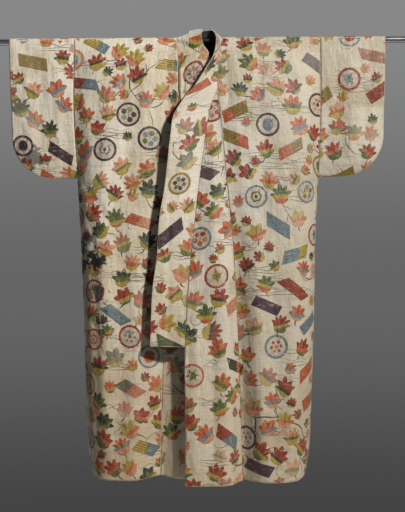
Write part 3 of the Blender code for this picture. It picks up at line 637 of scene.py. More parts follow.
class Sheet:
    """One cloth as a grid of points on its outer face, by station down and share across."""

    def __init__(self, name: str, shares: Array, stations: Array, outer: Array,
                 facing: int) -> None:
        """Keeps the grid and measures it.

        Args:
            name: the piece's name.
            shares: the columns, from 0 to 1.
            stations: the rows, rising.
            outer: points of the outer face, rows by columns by 3.
            facing: 1 where across and down, in that order, turn out of the robe, or else -1.
        """
        self.facing = facing
        self.name = name
        self.shares = shares
        self.stations = stations
        self.outer = outer
        steps = np.linalg.norm(np.diff(outer, axis=1), axis=-1)
        self.across = np.concatenate([np.zeros_like(steps[:, :1]), np.cumsum(steps, 1)], 1)
        self.width = self.across[:, -1]
        middle = outer[:, len(shares) // 2]
        run = np.concatenate([[0.0], np.cumsum(np.linalg.norm(np.diff(middle, axis=0), axis=-1))])
        self.down = run - np.interp(0.0, stations, run)
        self.normal = self.normals(outer) * facing

    @staticmethod
    def normals(grid: Array) -> Array:
        """Unit normals of a grid, from its neighbours."""
        across = np.gradient(grid, axis=1)
        down = np.gradient(grid, axis=0)
        return unit(np.cross(across, down))

    def width_at(self, down: Array) -> Array:
        """The cloth's width at a distance down it from the ridge."""
        return np.interp(down, self.down, self.width)

    def down_at(self, station: Array) -> Array:
        """The distance down the cloth at a station."""
        return np.interp(station, self.stations, self.down)

    def area(self) -> float:
        """The cloth's area."""
        return float(np.trapz(self.width, self.down))

    def place(self, share: Array, down: Array, lift: Array | float) -> Array:
        """Points on the cloth, lifted off it along its normal."""
        r = np.clip(np.interp(down, self.down, np.arange(len(self.down))), 0, len(self.down) - 1.001)
        c = np.clip(np.interp(share, self.shares, np.arange(len(self.shares))), 0,
                    len(self.shares) - 1.001)
        i, j = r.astype(int), c.astype(int)
        u, v = (r - i)[:, None], (c - j)[:, None]

        def read_grid(grid: Array) -> Array:
            """The grid's values between its points."""
            top = grid[i, j] * (1 - v) + grid[i, j + 1] * v
            low = grid[i + 1, j] * (1 - v) + grid[i + 1, j + 1] * v
            return top * (1 - u) + low * u

        lift = np.broadcast_to(np.asarray(lift, float), share.shape)[:, None]
        return read_grid(self.outer) + unit(read_grid(self.normal)) * lift

    def shell(self, thickness: float, outside: bpy.types.Material,
              inside: bpy.types.Material) -> bpy.types.Object:
        """The closed cloth: its outer face, its lining side and a rim round the edge.

        Args:
            thickness: from the outer face to the inner one.
            outside: the finish of the outer face and rim.
            inside: the finish of the lining side.

        Returns:
            The new object, linked to the scene.
        """
        rows, columns = self.outer.shape[:2]
        points = np.concatenate([self.outer.reshape(-1, 3),
                                 (self.outer - self.normal * thickness).reshape(-1, 3)])
        index = np.arange(rows * columns).reshape(rows, columns)
        quads = np.stack([index[:-1, :-1], index[:-1, 1:], index[1:, 1:], index[1:, :-1]], -1)
        quads = quads.reshape(-1, 4)
        front = quads if self.facing > 0 else quads[:, ::-1]
        back = (quads[:, ::-1] if self.facing > 0 else quads) + rows * columns
        rim = np.concatenate([index[0, :], index[1:, -1], index[-1, -2::-1], index[-2:0:-1, 0]])
        after = np.roll(rim, -1)
        low = rim + rows * columns
        edge = np.stack([rim, low, np.roll(low, -1), after], -1)
        edge = edge if self.facing > 0 else edge[:, ::-1]
        faces = np.concatenate([front, back, edge])
        mesh = bpy.data.meshes.new(self.name)
        mesh.from_pydata(points.tolist(), [], faces.tolist())
        slots = np.concatenate([np.zeros(len(front)), np.ones(len(back)), np.zeros(len(edge))])
        mesh.materials.append(outside)
        mesh.materials.append(inside)
        mesh.polygons.foreach_set("material_index", slots.astype(np.int32))
        mesh.shade_smooth()
        flat = np.stack([self.across, np.repeat(self.down[:, None], columns, 1)], -1)
        write_uv(mesh, "cloth", np.tile(flat.reshape(-1, 2), (2, 1)))
        write_value(mesh, "hem", np.tile(self.edge_distance().reshape(-1), 2))
        obj = bpy.data.objects.new(self.name, mesh)
        bpy.context.scene.collection.objects.link(obj)
        return obj

    def edge_distance(self) -> Array:
        """Each point's distance to the nearest edge of the cloth."""
        ends = np.minimum(self.down - self.down[0], self.down[-1] - self.down)
        return np.minimum(np.minimum(self.across, self.width[:, None] - self.across),
                          ends[:, None])


def write_uv(mesh: bpy.types.Mesh, name: str, values: Array) -> None:
    """A UV map from one pair of values a vertex."""
    loops = np.empty(len(mesh.loops), np.int32)
    mesh.loops.foreach_get("vertex_index", loops)
    layer = mesh.uv_layers.new(name=name)
    layer.uv.foreach_set("vector", values[loops].astype(np.float32).reshape(-1))


def write_value(mesh: bpy.types.Mesh, name: str, values: Array) -> None:
    """A number a vertex, or a colour where values has four columns."""
    if values.ndim == 1:
        layer = mesh.attributes.new(name, "FLOAT", "POINT")
        layer.data.foreach_set("value", values.astype(np.float32))
    else:
        layer = mesh.attributes.new(name, "FLOAT_COLOR", "POINT")
        layer.data.foreach_set("color", values.astype(np.float32).reshape(-1))


class Tint(Enum):
    """The robe's silk threads, as they look on a screen."""

    RUST = (160, 64, 36)
    CORAL = (198, 104, 62)
    SALMON = (214, 154, 118)
    YELLOW = (184, 164, 72)
    OLIVE = (150, 130, 48)
    GREEN = (96, 112, 60)
    PINE = (50, 68, 42)
    SLATE = (118, 142, 152)
    PURPLE = (66, 42, 58)
    BROWN = (78, 52, 38)
    MIST = (126, 128, 112)
    CREAM = (212, 203, 184)

    def colour(self) -> tuple[float, float, float, float]:
        """The thread's linear colour, with an alpha of 1."""
        return (*linear(*self.value), 1.0)


LEAF_TINTS = (
    (Tint.CORAL, Tint.GREEN, Tint.YELLOW), (Tint.RUST, Tint.PURPLE, Tint.YELLOW),
    (Tint.RUST, Tint.YELLOW, Tint.GREEN), (Tint.SALMON, Tint.GREEN, Tint.YELLOW),
    (Tint.RUST, Tint.CORAL, Tint.GREEN), (Tint.CORAL, Tint.SLATE, Tint.SALMON),
    (Tint.CORAL, Tint.YELLOW, Tint.GREEN), (Tint.RUST, Tint.PINE, Tint.YELLOW),
    (Tint.YELLOW, Tint.CORAL, Tint.SALMON), (Tint.SALMON, Tint.CORAL, Tint.YELLOW),
    (Tint.GREEN, Tint.YELLOW, Tint.CORAL), (Tint.PINE, Tint.GREEN, Tint.YELLOW),
)
SLIP_TINTS = (
    (Tint.RUST, Tint.SLATE), (Tint.YELLOW, Tint.SLATE), (Tint.CORAL, Tint.CORAL),
    (Tint.PURPLE, Tint.PURPLE), (Tint.OLIVE, Tint.OLIVE), (Tint.CORAL, Tint.SALMON),
    (Tint.GREEN, Tint.PINE), (Tint.SLATE, Tint.SLATE), (Tint.RUST, Tint.RUST),
    (Tint.PINE, Tint.CORAL), (Tint.OLIVE, Tint.CORAL),
)
RING_TINTS = (Tint.RUST, Tint.PURPLE, Tint.OLIVE, Tint.SLATE, Tint.CORAL, Tint.PURPLE, Tint.RUST)


class Look(NamedTuple):
    """How one woven figure is coloured: three threads from its tip to its foot, where they change
    along its axis, and how strong its fine dark stripes are."""

    tints: tuple[Tint, Tint, Tint]
    first: float
    second: float
    stripes: float = 0.0


def plain(tint: Tint) -> Look:
    """A figure in one thread."""
    return Look((tint, tint, tint), 9.0, 9.0)


def leaf_outline(rng: random.Random, size: float) -> Array:
    """A maple leaf's outline: pointed lobes fanned over a rounded foot.

    Args:
        rng: the source of its unevenness.
        size: its width.

    Returns:
        Its points, tip up, round the middle of the leaf.
    """
    lobes = rng.choice((4, 5, 5, 5, 6))
    fan = math.radians(rng.uniform(70, 86))
    half = fan / (lobes - 1)
    points: list[tuple[float, float]] = []
    for k in range(lobes):
        angle = -fan + 2 * half * k
        reach = size * (0.64 - 0.08 * abs(angle) / fan) * rng.uniform(0.90, 1.06)
        notch = size * rng.uniform(0.35, 0.41)
        for turn, radius in ((-1.0, notch), (-0.62, reach * 0.84), (-0.2, reach * 0.98),
                             (0.02, reach * 1.05), (0.24, reach * 0.96), (0.64, reach * 0.82)):
            a = angle + turn * half
            points.append((radius * math.sin(a), radius * math.cos(a)))
    foot = size * rng.uniform(0.36, 0.43)
    for angle, radius in ((106, 0.92), (132, 1.0), (160, 0.97), (200, 0.97), (228, 1.0), (254, 0.92)):
        a = math.radians(angle)
        points.append((foot * radius * math.sin(a), foot * radius * math.cos(a)))
    return np.array(points[::-1]) - (0.0, size * 0.10)


def slip_outline(rng: random.Random, length: float, width: float) -> Array:
    """A poem slip's outline: a slanted strip, with points along its edges.

    Args:
        rng: the source of its slant.
        length: along its axis, which is y.
        width: across it.

    Returns:
        Its points, round its middle.
    """
    slant = rng.uniform(-0.35, 0.35) * width
    corners = [(-width / 2, -length / 2 - slant), (width / 2, -length / 2 + slant),
               (width / 2, length / 2 + slant), (-width / 2, length / 2 - slant)]
    points = []
    for (x0, y0), (x1, y1) in zip(corners, corners[1:] + corners[:1]):
        count = max(2, round(math.hypot(x1 - x0, y1 - y0) / 0.012))
        points += [(x0 + (x1 - x0) * k / count, y0 + (y1 - y0) * k / count) for k in range(count)]
    return np.array(points)


def disc_outline(radius: float, sides: int, centre: tuple[float, float] = (0.0, 0.0),
                 squash: float = 1.0, turn: float = 0.0) -> Array:
    """A round or many-sided outline."""
    a = np.arange(sides) * 2 * math.pi / sides + turn
    return np.stack([centre[0] + radius * np.cos(a), centre[1] + radius * squash * np.sin(a)], -1)


def petal_outline(angle: float, near: float, far: float, width: float) -> Array:
    """A petal that points away from the middle."""
    along = np.array([near, near + (far - near) * 0.35, near + (far - near) * 0.8, far,
                      near + (far - near) * 0.8, near + (far - near) * 0.35])
    across = np.array([0.0, -0.42, -0.36, 0.0, 0.36, 0.42]) * width
    c, s = math.cos(angle), math.sin(angle)
    return np.stack([along * c - across * s, along * s + across * c], -1)


class Weaving:
    """The woven figures of one cloth, gathered as patches and built as one mesh."""

    def __init__(self, sheet: Sheet, seed: int, spacing: float = 0.009) -> None:
        """Starts an empty set of figures on a sheet.

        Args:
            sheet: the cloth.
            seed: the layout's seed.
            spacing: the distance between the points inside a figure.
        """
        self.spacing = spacing
        self.first = max(float(sheet.down[0]), 0.03 if sheet.name.startswith("collar") else -9.0)
        self.sheet = sheet
        self.rng = random.Random(seed)
        self.points: list[Array] = []
        self.faces: list[list[int]] = []
        self.figure: list[Array] = []
        self.tints: list[Array] = []
        self.bands: list[Array] = []
        self.flat: list[Array] = []
        self.count = 0
        self.taken: list[tuple[float, float, float]] = []

    def clip(self, outline: Array) -> Array:
        """An outline in flat metres, cut off at the cloth's edges, as shares and stations."""
        width = np.maximum(self.sheet.width_at(outline[:, 1]), 1e-4)
        shape = np.stack([outline[:, 0] / width, outline[:, 1]], -1)
        edge = 0.0015
        low, high = self.first + edge, self.sheet.down[-1] - edge
        for axis, limit, sign in ((0, 0.005, 1), (0, 0.995, -1), (1, low, 1), (1, high, -1)):
            if not len(shape):
                break
            inside = (shape[:, axis] - limit) * sign >= 0
            if inside.all():
                continue
            kept = []
            for k in range(len(shape)):
                p, q = shape[k], shape[(k + 1) % len(shape)]
                if inside[k]:
                    kept.append(p)
                if inside[k] != inside[(k + 1) % len(shape)]:
                    t = (limit - p[axis]) / (q[axis] - p[axis])
                    kept.append(p + (q - p) * t)
            shape = np.array(kept).reshape(-1, 2)
        return shape

    def add(self, share: Array, station: Array, faces: Sequence[Sequence[int]], local: Array,
            look: Look, lift: Array | float) -> None:
        """Keeps one patch.

        Args:
            share: each point's share across the cloth.
            station: each point's station.
            faces: the patch's faces.
            local: each point in the figure's own metres.
            look: its colours.
            lift: each point's height above the cloth.
        """
        size = len(share)
        self.points.append(self.sheet.place(share, station, lift))
        self.faces += [[k + self.count for k in face] for face in faces]
        self.figure.append(local)
        self.flat.append(np.stack([share * self.sheet.width_at(station), station], -1))
        self.tints.append(np.tile([t.colour() for t in look.tints], (size, 1, 1)))
        self.bands.append(np.tile((look.first, look.second, look.stripes,
                                   self.rng.random()), (size, 1)))
        self.count += size

    def patch(self, outline: Array, centre: tuple[float, float], turn: float, look: Look,
              lift: float) -> None:
        """Lays one filled figure on the cloth.

        Args:
            outline: its points in its own metres.
            centre: its middle, in metres across and station.
            turn: its turn on the cloth.
            look: its colours.
            lift: its height above the cloth at the edge.
        """
        c, s = math.cos(turn), math.sin(turn)
        rotation = np.array([[c, s], [-s, c]])
        flip = np.array([1.0, -1.0])
        flat = (outline @ rotation) * flip + centre
        shape = self.clip(flat)
        if len(shape) < 3:
            return
        width = self.sheet.width_at(shape[:, 1])
        rim = np.stack([shape[:, 0] * width, shape[:, 1]], -1)
        low, high = rim.min(0), rim.max(0)
        if (high - low).min() < 0.002:
            return
        grid = np.mgrid[low[0] + self.spacing / 2:high[0]:self.spacing,
                        low[1] + self.spacing / 2:high[1]:self.spacing].reshape(2, -1).T
        grid = grid[self.inside(grid, rim)]
        points = np.concatenate([rim, grid])
        ring = list(range(len(rim)))
        made = delaunay_2d_cdt([Vector(p) for p in points], [], [ring], 1, 1e-6)
        found = np.array([tuple(p) for p in made[0]])
        heights = np.full(len(found), lift + 0.00012)
        near = np.abs(found[:, None, :] - rim[None]).sum(-1).min(1) < 1e-5
        heights[near] = lift
        local = ((found - centre) * flip) @ rotation.T
        share = found[:, 0] / np.maximum(self.sheet.width_at(found[:, 1]), 1e-4)
        self.add(share, found[:, 1], made[2], local, look, heights)

    @staticmethod
    def inside(points: Array, ring: Array) -> Array:
        """Which points lie well within a ring."""
        if not len(points):
            return np.zeros(0, bool)
        x, y = points[:, :1], points[:, 1:]
        x0, y0 = ring[:, 0], ring[:, 1]
        x1, y1 = np.roll(x0, -1), np.roll(y0, -1)
        span = np.where(np.abs(y1 - y0) < 1e-12, 1e-12, y1 - y0)
        hit = ((y0 > y) != (y1 > y)) & (x < (x1 - x0) * (y - y0) / span + x0)
        length = np.maximum((x1 - x0) ** 2 + (y1 - y0) ** 2, 1e-12)
        t = np.clip(((x - x0) * (x1 - x0) + (y - y0) * (y1 - y0)) / length, 0, 1)
        away = np.hypot(x - x0 - t * (x1 - x0), y - y0 - t * (y1 - y0)).min(1)
        return (hit.sum(1) % 2 == 1) & (away > 0.003)

    def ribbon(self, path: Array, width: float, look: Look, lift: float) -> None:
        """Lays a narrow line on the cloth, tapered at its ends.

        Args:
            path: its middle line, in metres across and station.
            width: its width.
            look: its colours.
            lift: its height above the cloth.
        """
        run = unit(np.gradient(path, axis=0))
        side = np.stack([-run[:, 1], run[:, 0]], -1)
        t = np.linspace(0, 1, len(path))
        half = width / 2 * (0.35 + 0.65 * np.sin(math.pi * np.clip(t * 1.1, 0, 1)))
        left, right = path + side * half[:, None], path - side * half[:, None]
        flat = np.concatenate([left, right])
        share = flat[:, 0] / np.maximum(self.sheet.width_at(flat[:, 1]), 1e-4)
        count = len(path)
        low, high = self.first + 0.002, self.sheet.down[-1] - 0.002
        ok = (share > 0.005) & (share < 0.995) & (flat[:, 1] > low) & (flat[:, 1] < high)
        ok = ok[:count] & ok[count:]
        faces = [(k, k + 1, count + k + 1, count + k) for k in range(count - 1)
                 if ok[k] and ok[k + 1]]
        if not faces:
            return
        used = sorted({k for face in faces for k in face})
        remap = {k: i for i, k in enumerate(used)}
        faces = [[remap[k] for k in face] for face in faces]
        self.add(share[used], flat[used, 1], faces, np.stack([flat[used, 0], flat[used, 1]], -1),
                 look, lift)

    def free(self, x: float, y: float, radius: float, slack: float = 0.0) -> bool:
        """Whether a disc keeps clear of the figures so far."""
        return all((x - a) ** 2 + (y - b) ** 2 > (radius + r - slack) ** 2
                   for a, b, r in self.taken)

    def spot(self, radius: float, tries: int = 60) -> tuple[float, float] | None:
        """A free place for a figure, or None."""
        low, high = self.first, self.sheet.down[-1]
        for _ in range(tries):
            y = self.rng.uniform(low, high)
            width = float(self.sheet.width_at(y))
            x = self.rng.uniform(-0.3 * radius, width + 0.3 * radius)
            if self.free(x, y, radius):
                return x, y
        return None

    def roundel(self, x: float, y: float, up: float) -> None:
        """A ring with a plain rosette, hexagon, star or dots in it."""
        rng = self.rng
        tint = rng.choice(RING_TINTS)
        radius = rng.uniform(0.038, 0.043)
        ring = radius - rng.uniform(0.0065, 0.009)
        self.patch(disc_outline(radius, 28), (x, y), up, plain(tint), 0.0004)
        self.patch(disc_outline(ring, 24), (x, y), up, plain(Tint.CREAM), 0.00062)
        design = rng.choice(("rosette", "hexagon", "star", "dots", "disc", "rosette"))
        inner, outer = rng.sample((Tint.RUST, Tint.OLIVE, Tint.SLATE, Tint.PURPLE, Tint.CORAL,
                                   Tint.GREEN), 2)
        lift = 0.00084
        if design == "rosette":
            petals = rng.choice((5, 6, 8))
            for k in range(petals):
                outline = petal_outline(2 * math.pi * k / petals, ring * 0.22, ring * 0.82,
                                        ring * 3.4 / petals)
                self.patch(outline, (x, y), up, plain(outer if k % 2 else inner), lift)
        elif design == "hexagon":
            self.patch(disc_outline(ring * 0.66, 6), (x, y), up, plain(inner), lift)
            self.patch(disc_outline(ring * 0.42, 6), (x, y), up, plain(Tint.CREAM), lift + 0.0002)
            self.patch(disc_outline(ring * 0.17, 10), (x, y), up, plain(outer), lift + 0.0004)
        elif design == "star":
            points = np.concatenate([disc_outline(ring * (0.78 if k % 2 == 0 else 0.34), 1,
                                                  turn=math.pi * k / 6) for k in range(12)])
            self.patch(points, (x, y), up, plain(inner), lift)
            self.patch(disc_outline(ring * 0.16, 10), (x, y), up, plain(outer), lift + 0.0002)
        elif design == "dots":
            for k in range(6):
                spot = (ring * 0.52 * math.cos(k * math.pi / 3), ring * 0.52 * math.sin(k * math.pi / 3))
                self.patch(disc_outline(ring * 0.17, 9, spot), (x, y), up, plain(inner), lift)
            self.patch(disc_outline(ring * 0.22, 10), (x, y), up, plain(outer), lift)
        else:
            self.patch(disc_outline(ring * 0.60, 16, squash=1.1), (x, y), up,
                       Look((inner, inner, outer), -ring * 0.1, -9.0), lift)

    def leaf(self, x: float, y: float, up: float, size: float) -> None:
        """A maple leaf in three bands of thread, with a short stem."""
        rng = self.rng
        tints = rng.choice(LEAF_TINTS)
        first = size * rng.uniform(-0.14, 0.08)
        look = Look(tints, first, first - size * rng.uniform(0.14, 0.24))
        self.patch(leaf_outline(rng, size), (x, y), up, look, 0.0006)

    def branch(self, ends: Sequence[tuple[float, float]], tint: Tint) -> None:
        """A thin bent branch from one leaf to the next."""
        rng = self.rng
        for (x0, y0), (x1, y1) in zip(ends, ends[1:]):
            t = np.linspace(0, 1, 9)
            bow = rng.uniform(-0.25, 0.25) * math.hypot(x1 - x0, y1 - y0)
            wave = np.sin(math.pi * t) * bow
            dx, dy = x1 - x0, y1 - y0
            length = max(math.hypot(dx, dy), 1e-6)
            path = np.stack([x0 + dx * t - dy / length * wave, y0 + dy * t + dx / length * wave], -1)
            self.ribbon(path, rng.uniform(0.0030, 0.0048), plain(tint), 0.0003)

    def scatter(self, up: Callable[[float], float]) -> None:
        """Fills the cloth with roundels, slips, sprays of leaves, mist lines and small leaves.

        Args:
            up: the turn at a station that stands a figure upright on that part of the cloth.
        """
        rng, area = self.rng, self.sheet.area()
        for _ in range(round(18 * area)):
            place = self.spot(0.043)
            if place:
                self.taken.append((*place, 0.043))
                self.roundel(*place, up(place[1]) + rng.uniform(-0.3, 0.3))
        for _ in range(round(20 * area)):
            place = self.spot(0.044)
            if place:
                self.slip(*place, up(place[1]))
        for _ in range(round(90 * area)):
            place = self.spot(0.0285, 200)
            if place and self.wanted(place[1]):
                self.spray(*place, up)
        for _ in range(round(60 * area)):
            place = self.spot(0.0185, 100)
            if place and self.wanted(place[1]):
                self.taken.append((*place, 0.019))
                size = rng.uniform(0.034, 0.046)
                self.leaf(*place, up(place[1]) + rng.uniform(-1.2, 1.2), size)
        for _ in range(round(64 * area)):
            self.mist()
        for _ in range(round(16 * area)):
            self.tendril()
        for _ in range(round(16 * area)):
            self.bough()

    def wanted(self, down: float) -> bool:
        """Whether a leaf is woven at this distance down the cloth, fewer near the shoulder."""
        return abs(down) > 0.55 or self.rng.random() > 0.30

    def slip(self, x: float, y: float, up: float) -> None:
        """A poem slip at any tilt, striped lengthwise, often in two threads."""
        rng = self.rng
        turn = up + rng.choice((-1, 1)) * math.radians(rng.uniform(48, 84))
        length = rng.uniform(0.088, 0.108)
        for end in (-0.028, 0.0, 0.028):
            self.taken.append((x - math.sin(turn) * end, y - math.cos(turn) * end, 0.028))
        a, b = rng.choice(SLIP_TINTS)
        look = Look((a, b, b), rng.uniform(-0.01, 0.012), -9.0, rng.uniform(0.45, 0.9))
        self.patch(slip_outline(rng, length, rng.uniform(0.036, 0.044)), (x, y), turn, look, 0.0005)

    def spray(self, x: float, y: float, up: Callable[[float], float]) -> None:
        """Two to four leaves joined by a branch."""
        rng = self.rng
        heading = rng.uniform(0, 2 * math.pi)
        ends = []
        for _ in range(rng.choice((2, 3, 3, 4))):
            if ends and not self.free(x, y, 0.031, 0.007):
                break
            turn = up(y) + rng.gauss(0, 0.5)
            size = rng.uniform(0.057, 0.070)
            self.taken.append((x, y, size * 0.50))
            self.leaf(x, y, turn, size)
            foot = size * 0.42
            ends.append((x + math.sin(turn) * foot, y + math.cos(turn) * foot))
            heading += rng.uniform(-0.9, 0.9)
            x += 0.064 * math.cos(heading)
            y += 0.064 * math.sin(heading)
        if len(ends) == 1:
            ends.append((ends[0][0] + rng.uniform(-0.03, 0.03), ends[0][1] + 0.02))
        self.branch(ends, rng.choice((Tint.BROWN, Tint.BROWN, Tint.PINE, Tint.CORAL, Tint.PURPLE)))

    def mist(self) -> None:
        """A few faint lines of mist that drift across the cloth."""
        rng = self.rng
        y = rng.uniform(self.sheet.down[0], self.sheet.down[-1])
        x = rng.uniform(-0.05, float(self.sheet.width_at(y)))
        length = rng.uniform(0.05, 0.16)
        for k in range(rng.choice((2, 3, 3))):
            t = np.linspace(0, 1, 18)
            shift = rng.uniform(-0.02, 0.02)
            wave = rng.uniform(0.002, 0.006) * np.sin(2 * math.pi * t * rng.uniform(0.8, 2.4)
                                                      + rng.uniform(0, 6))
            path = np.stack([x + shift + length * t, y + 0.010 * k + wave * (1 - 0.3 * k)], -1)
            self.ribbon(path, 0.0023, plain(Tint.MIST), 0.00028)

    def bough(self) -> None:
        """A long dark bough that bends in a few places and ends in a fork."""
        rng = self.rng
        y = rng.uniform(self.sheet.down[0], self.sheet.down[-1])
        x = rng.uniform(0, float(self.sheet.width_at(y)))
        heading = rng.uniform(0, 2 * math.pi)
        tint = plain(rng.choice((Tint.BROWN, Tint.BROWN, Tint.PURPLE, Tint.PINE)))
        path = [(x, y)]
        for _ in range(rng.choice((4, 5, 6))):
            heading += rng.uniform(-0.75, 0.75)
            path.append((path[-1][0] + 0.030 * math.cos(heading), path[-1][1] + 0.030 * math.sin(heading)))
        knots = np.array(path)
        even = np.linspace(0, len(knots) - 1, 6 * len(knots))
        line = np.stack([np.interp(even, np.arange(len(knots)), knots[:, k]) for k in (0, 1)], -1)
        line[1:-1] = (line[:-2] + 2 * line[1:-1] + line[2:]) / 4
        self.ribbon(line, 0.0042, tint, 0.00032)
        for turn in (-0.7, 0.6):
            start = line[rng.randrange(len(line) // 2, len(line) - 1)]
            tip = start + 0.030 * np.array([math.cos(heading + turn), math.sin(heading + turn)])
            self.ribbon(np.linspace(start, tip, 5), 0.0026, tint, 0.00032)

    def tendril(self) -> None:
        """A thin coral or brown line that wanders between the figures."""
        rng = self.rng
        y = rng.uniform(self.sheet.down[0], self.sheet.down[-1])
        x = rng.uniform(0, float(self.sheet.width_at(y)))
        heading = rng.uniform(0, 2 * math.pi)
        path = [(x, y)]
        curl = rng.uniform(-0.5, 0.5)
        for _ in range(12):
            heading += curl + rng.uniform(-0.2, 0.2)
            path.append((path[-1][0] + 0.009 * math.cos(heading), path[-1][1] + 0.009 * math.sin(heading)))
        self.ribbon(np.array(path), 0.0024, plain(rng.choice((Tint.CORAL, Tint.BROWN, Tint.GREEN))),
                    0.0003)

    def build(self, material: bpy.types.Material) -> bpy.types.Object:
        """The figures as one mesh, facing out of the robe.

        Args:
            material: the figures' finish.

        Returns:
            The new object.
        """
        flat = np.concatenate(self.flat)
        faces = [face if self.turns(flat[list(face)]) * self.sheet.facing > 0 else face[::-1]
                 for face in self.faces]
        mesh = bpy.data.meshes.new(f"figures_{self.sheet.name}")
        mesh.from_pydata(np.concatenate(self.points).tolist(), [], faces)
        mesh.materials.append(material)
        write_uv(mesh, "cloth", flat)
        write_uv(mesh, "figure", np.concatenate(self.figure))
        tints = np.concatenate(self.tints)
        for k, name in enumerate(("tint_a", "tint_b", "tint_c")):
            write_value(mesh, name, tints[:, k])
        write_value(mesh, "bands", np.concatenate(self.bands))
        mesh.shade_smooth()
        obj = bpy.data.objects.new(mesh.name, mesh)
        bpy.context.scene.collection.objects.link(obj)
        return obj

    @staticmethod
    def turns(ring: Array) -> float:
        """Twice a flat ring's area, negative where it runs clockwise."""
        x, y = ring[:, 0], ring[:, 1]
        return float((x * np.roll(y, -1) - np.roll(x, -1) * y).sum())


class Graph:
    """A node tree with short calls for what the finishes are made of."""

    def __init__(self, tree: bpy.types.NodeTree) -> None:
        """Keeps the tree."""
        self.tree = tree

    def node(self, kind: str, inputs: dict[str | int, object] | None = None,
             **settings: object) -> bpy.types.Node:
        """A new node.

        Args:
            kind: its type name.
            inputs: a value or a socket for each named input.
            settings: its own properties.

        Returns:
            The node.
        """
        made = self.tree.nodes.new(kind)
        for name, value in settings.items():
            setattr(made, name, value)
        for name, value in (inputs or {}).items():
            self.feed(made.inputs[name], value)
        return made

    def feed(self, target: Socket, value: object) -> None:
        """Links a socket to an input, or sets the input's value."""
        if isinstance(value, Socket):
            self.tree.links.new(value, target)
        else:
            target.default_value = value

    def math(self, operation: str, a: object, b: object = 0.0, clamp: bool = False) -> Socket:
        """A Math node's result."""
        return self.node("ShaderNodeMath", {0: a, 1: b}, operation=operation,
                         use_clamp=clamp).outputs[0]

    def ramp(self, value: object, low: float, high: float, first: float = 0.0,
             last: float = 1.0) -> Socket:
        """A value eased from first to last as it goes from low to high."""
        return self.node("ShaderNodeMapRange", {"Value": value, "From Min": low, "From Max": high,
                                                "To Min": first, "To Max": last},
                         interpolation_type="SMOOTHSTEP").outputs[0]

    def mix(self, factor: object, a: object, b: object, blend: str = "MIX") -> Socket:
        """Two colours mixed."""
        made = self.node("ShaderNodeMix", data_type="RGBA", blend_type=blend)
        for k, value in ((0, factor), (6, a), (7, b)):
            self.feed(made.inputs[k], value)
        return made.outputs[2]

    def noise(self, vector: Socket, scale: float, detail: float = 3.0, rough: float = 0.55) -> Socket:
        """A Noise texture's value."""
        return self.node("ShaderNodeTexNoise", {"Vector": vector, "Scale": scale, "Detail": detail,
                                                "Roughness": rough}).outputs[0]

    def stretch(self, vector: Socket, scale: tuple[float, float, float]) -> Socket:
        """A vector scaled along each axis."""
        return self.node("ShaderNodeMapping", {"Vector": vector, "Scale": scale}).outputs[0]

    def creased(self, normal: Socket) -> Socket:
        """A normal with the small crumples and the slow waves of old hung silk laid over it."""
        small = self.noise(self.stretch(self.uv("cloth"), (34.0, 13.0, 1.0)), 1.0, 5.0, 0.62)
        slow = self.noise(self.stretch(self.uv("cloth"), (13.0, 4.5, 1.0)), 1.0, 3.0, 0.5)
        first = self.node("ShaderNodeBump", {"Strength": 0.85, "Distance": 0.007, "Height": small,
                                             "Normal": normal})
        return self.node("ShaderNodeBump", {"Strength": 0.6, "Distance": 0.016, "Height": slow,
                                            "Normal": first.outputs[0]}).outputs[0]

    def uv(self, name: str) -> Socket:
        """A named UV map."""
        return self.node("ShaderNodeUVMap", uv_map=name).outputs[0]

    def place(self) -> Socket:
        """The piece's own coordinates, in metres."""
        return self.node("ShaderNodeTexCoord").outputs["Object"]

    def attribute(self, name: str, output: str) -> Socket:
        """A named attribute's Color or Fac."""
        return self.node("ShaderNodeAttribute", attribute_name=name).outputs[output]


def rgba(red: int, green: int, blue: int) -> tuple[float, float, float, float]:
    """A screen colour as a shader's colour."""
    return (*linear(red, green, blue), 1.0)


class Stain(NamedTuple):
    """A dark stain on the front: its middle, its reach and its strength."""

    x: float
    y: float
    z: float
    reach: float
    strength: float


STAINS = (
    Stain(-0.585, -0.020, -0.410, 0.040, 0.75),
    Stain(-0.378, -0.062, -0.765, 0.052, 1.00),
    Stain(-0.392, -0.050, -0.705, 0.030, 0.80),
    Stain(-0.352, -0.068, -0.880, 0.026, 0.80),
    Stain(-0.348, -0.068, -0.960, 0.034, 0.95),
    Stain(-0.322, -0.070, -1.030, 0.026, 0.70),
    Stain(-0.250, -0.075, -0.640, 0.016, 0.50),
)


def new_group(name: str, inputs: Sequence[tuple[str, str, object]],
              outputs: Sequence[tuple[str, str]]) -> tuple[bpy.types.NodeTree, Graph]:
    """A shader group with named sockets.

    Args:
        name: the group's name.
        inputs: name, socket type and default of each input.
        outputs: name and socket type of each output.

    Returns:
        The tree, and a graph to build in it.
    """
    tree = bpy.data.node_groups.new(name, "ShaderNodeTree")
    for label, kind, value in inputs:
        tree.interface.new_socket(label, in_out="INPUT", socket_type=kind).default_value = value
    for label, kind in outputs:
        tree.interface.new_socket(label, in_out="OUTPUT", socket_type=kind)
    return tree, Graph(tree)


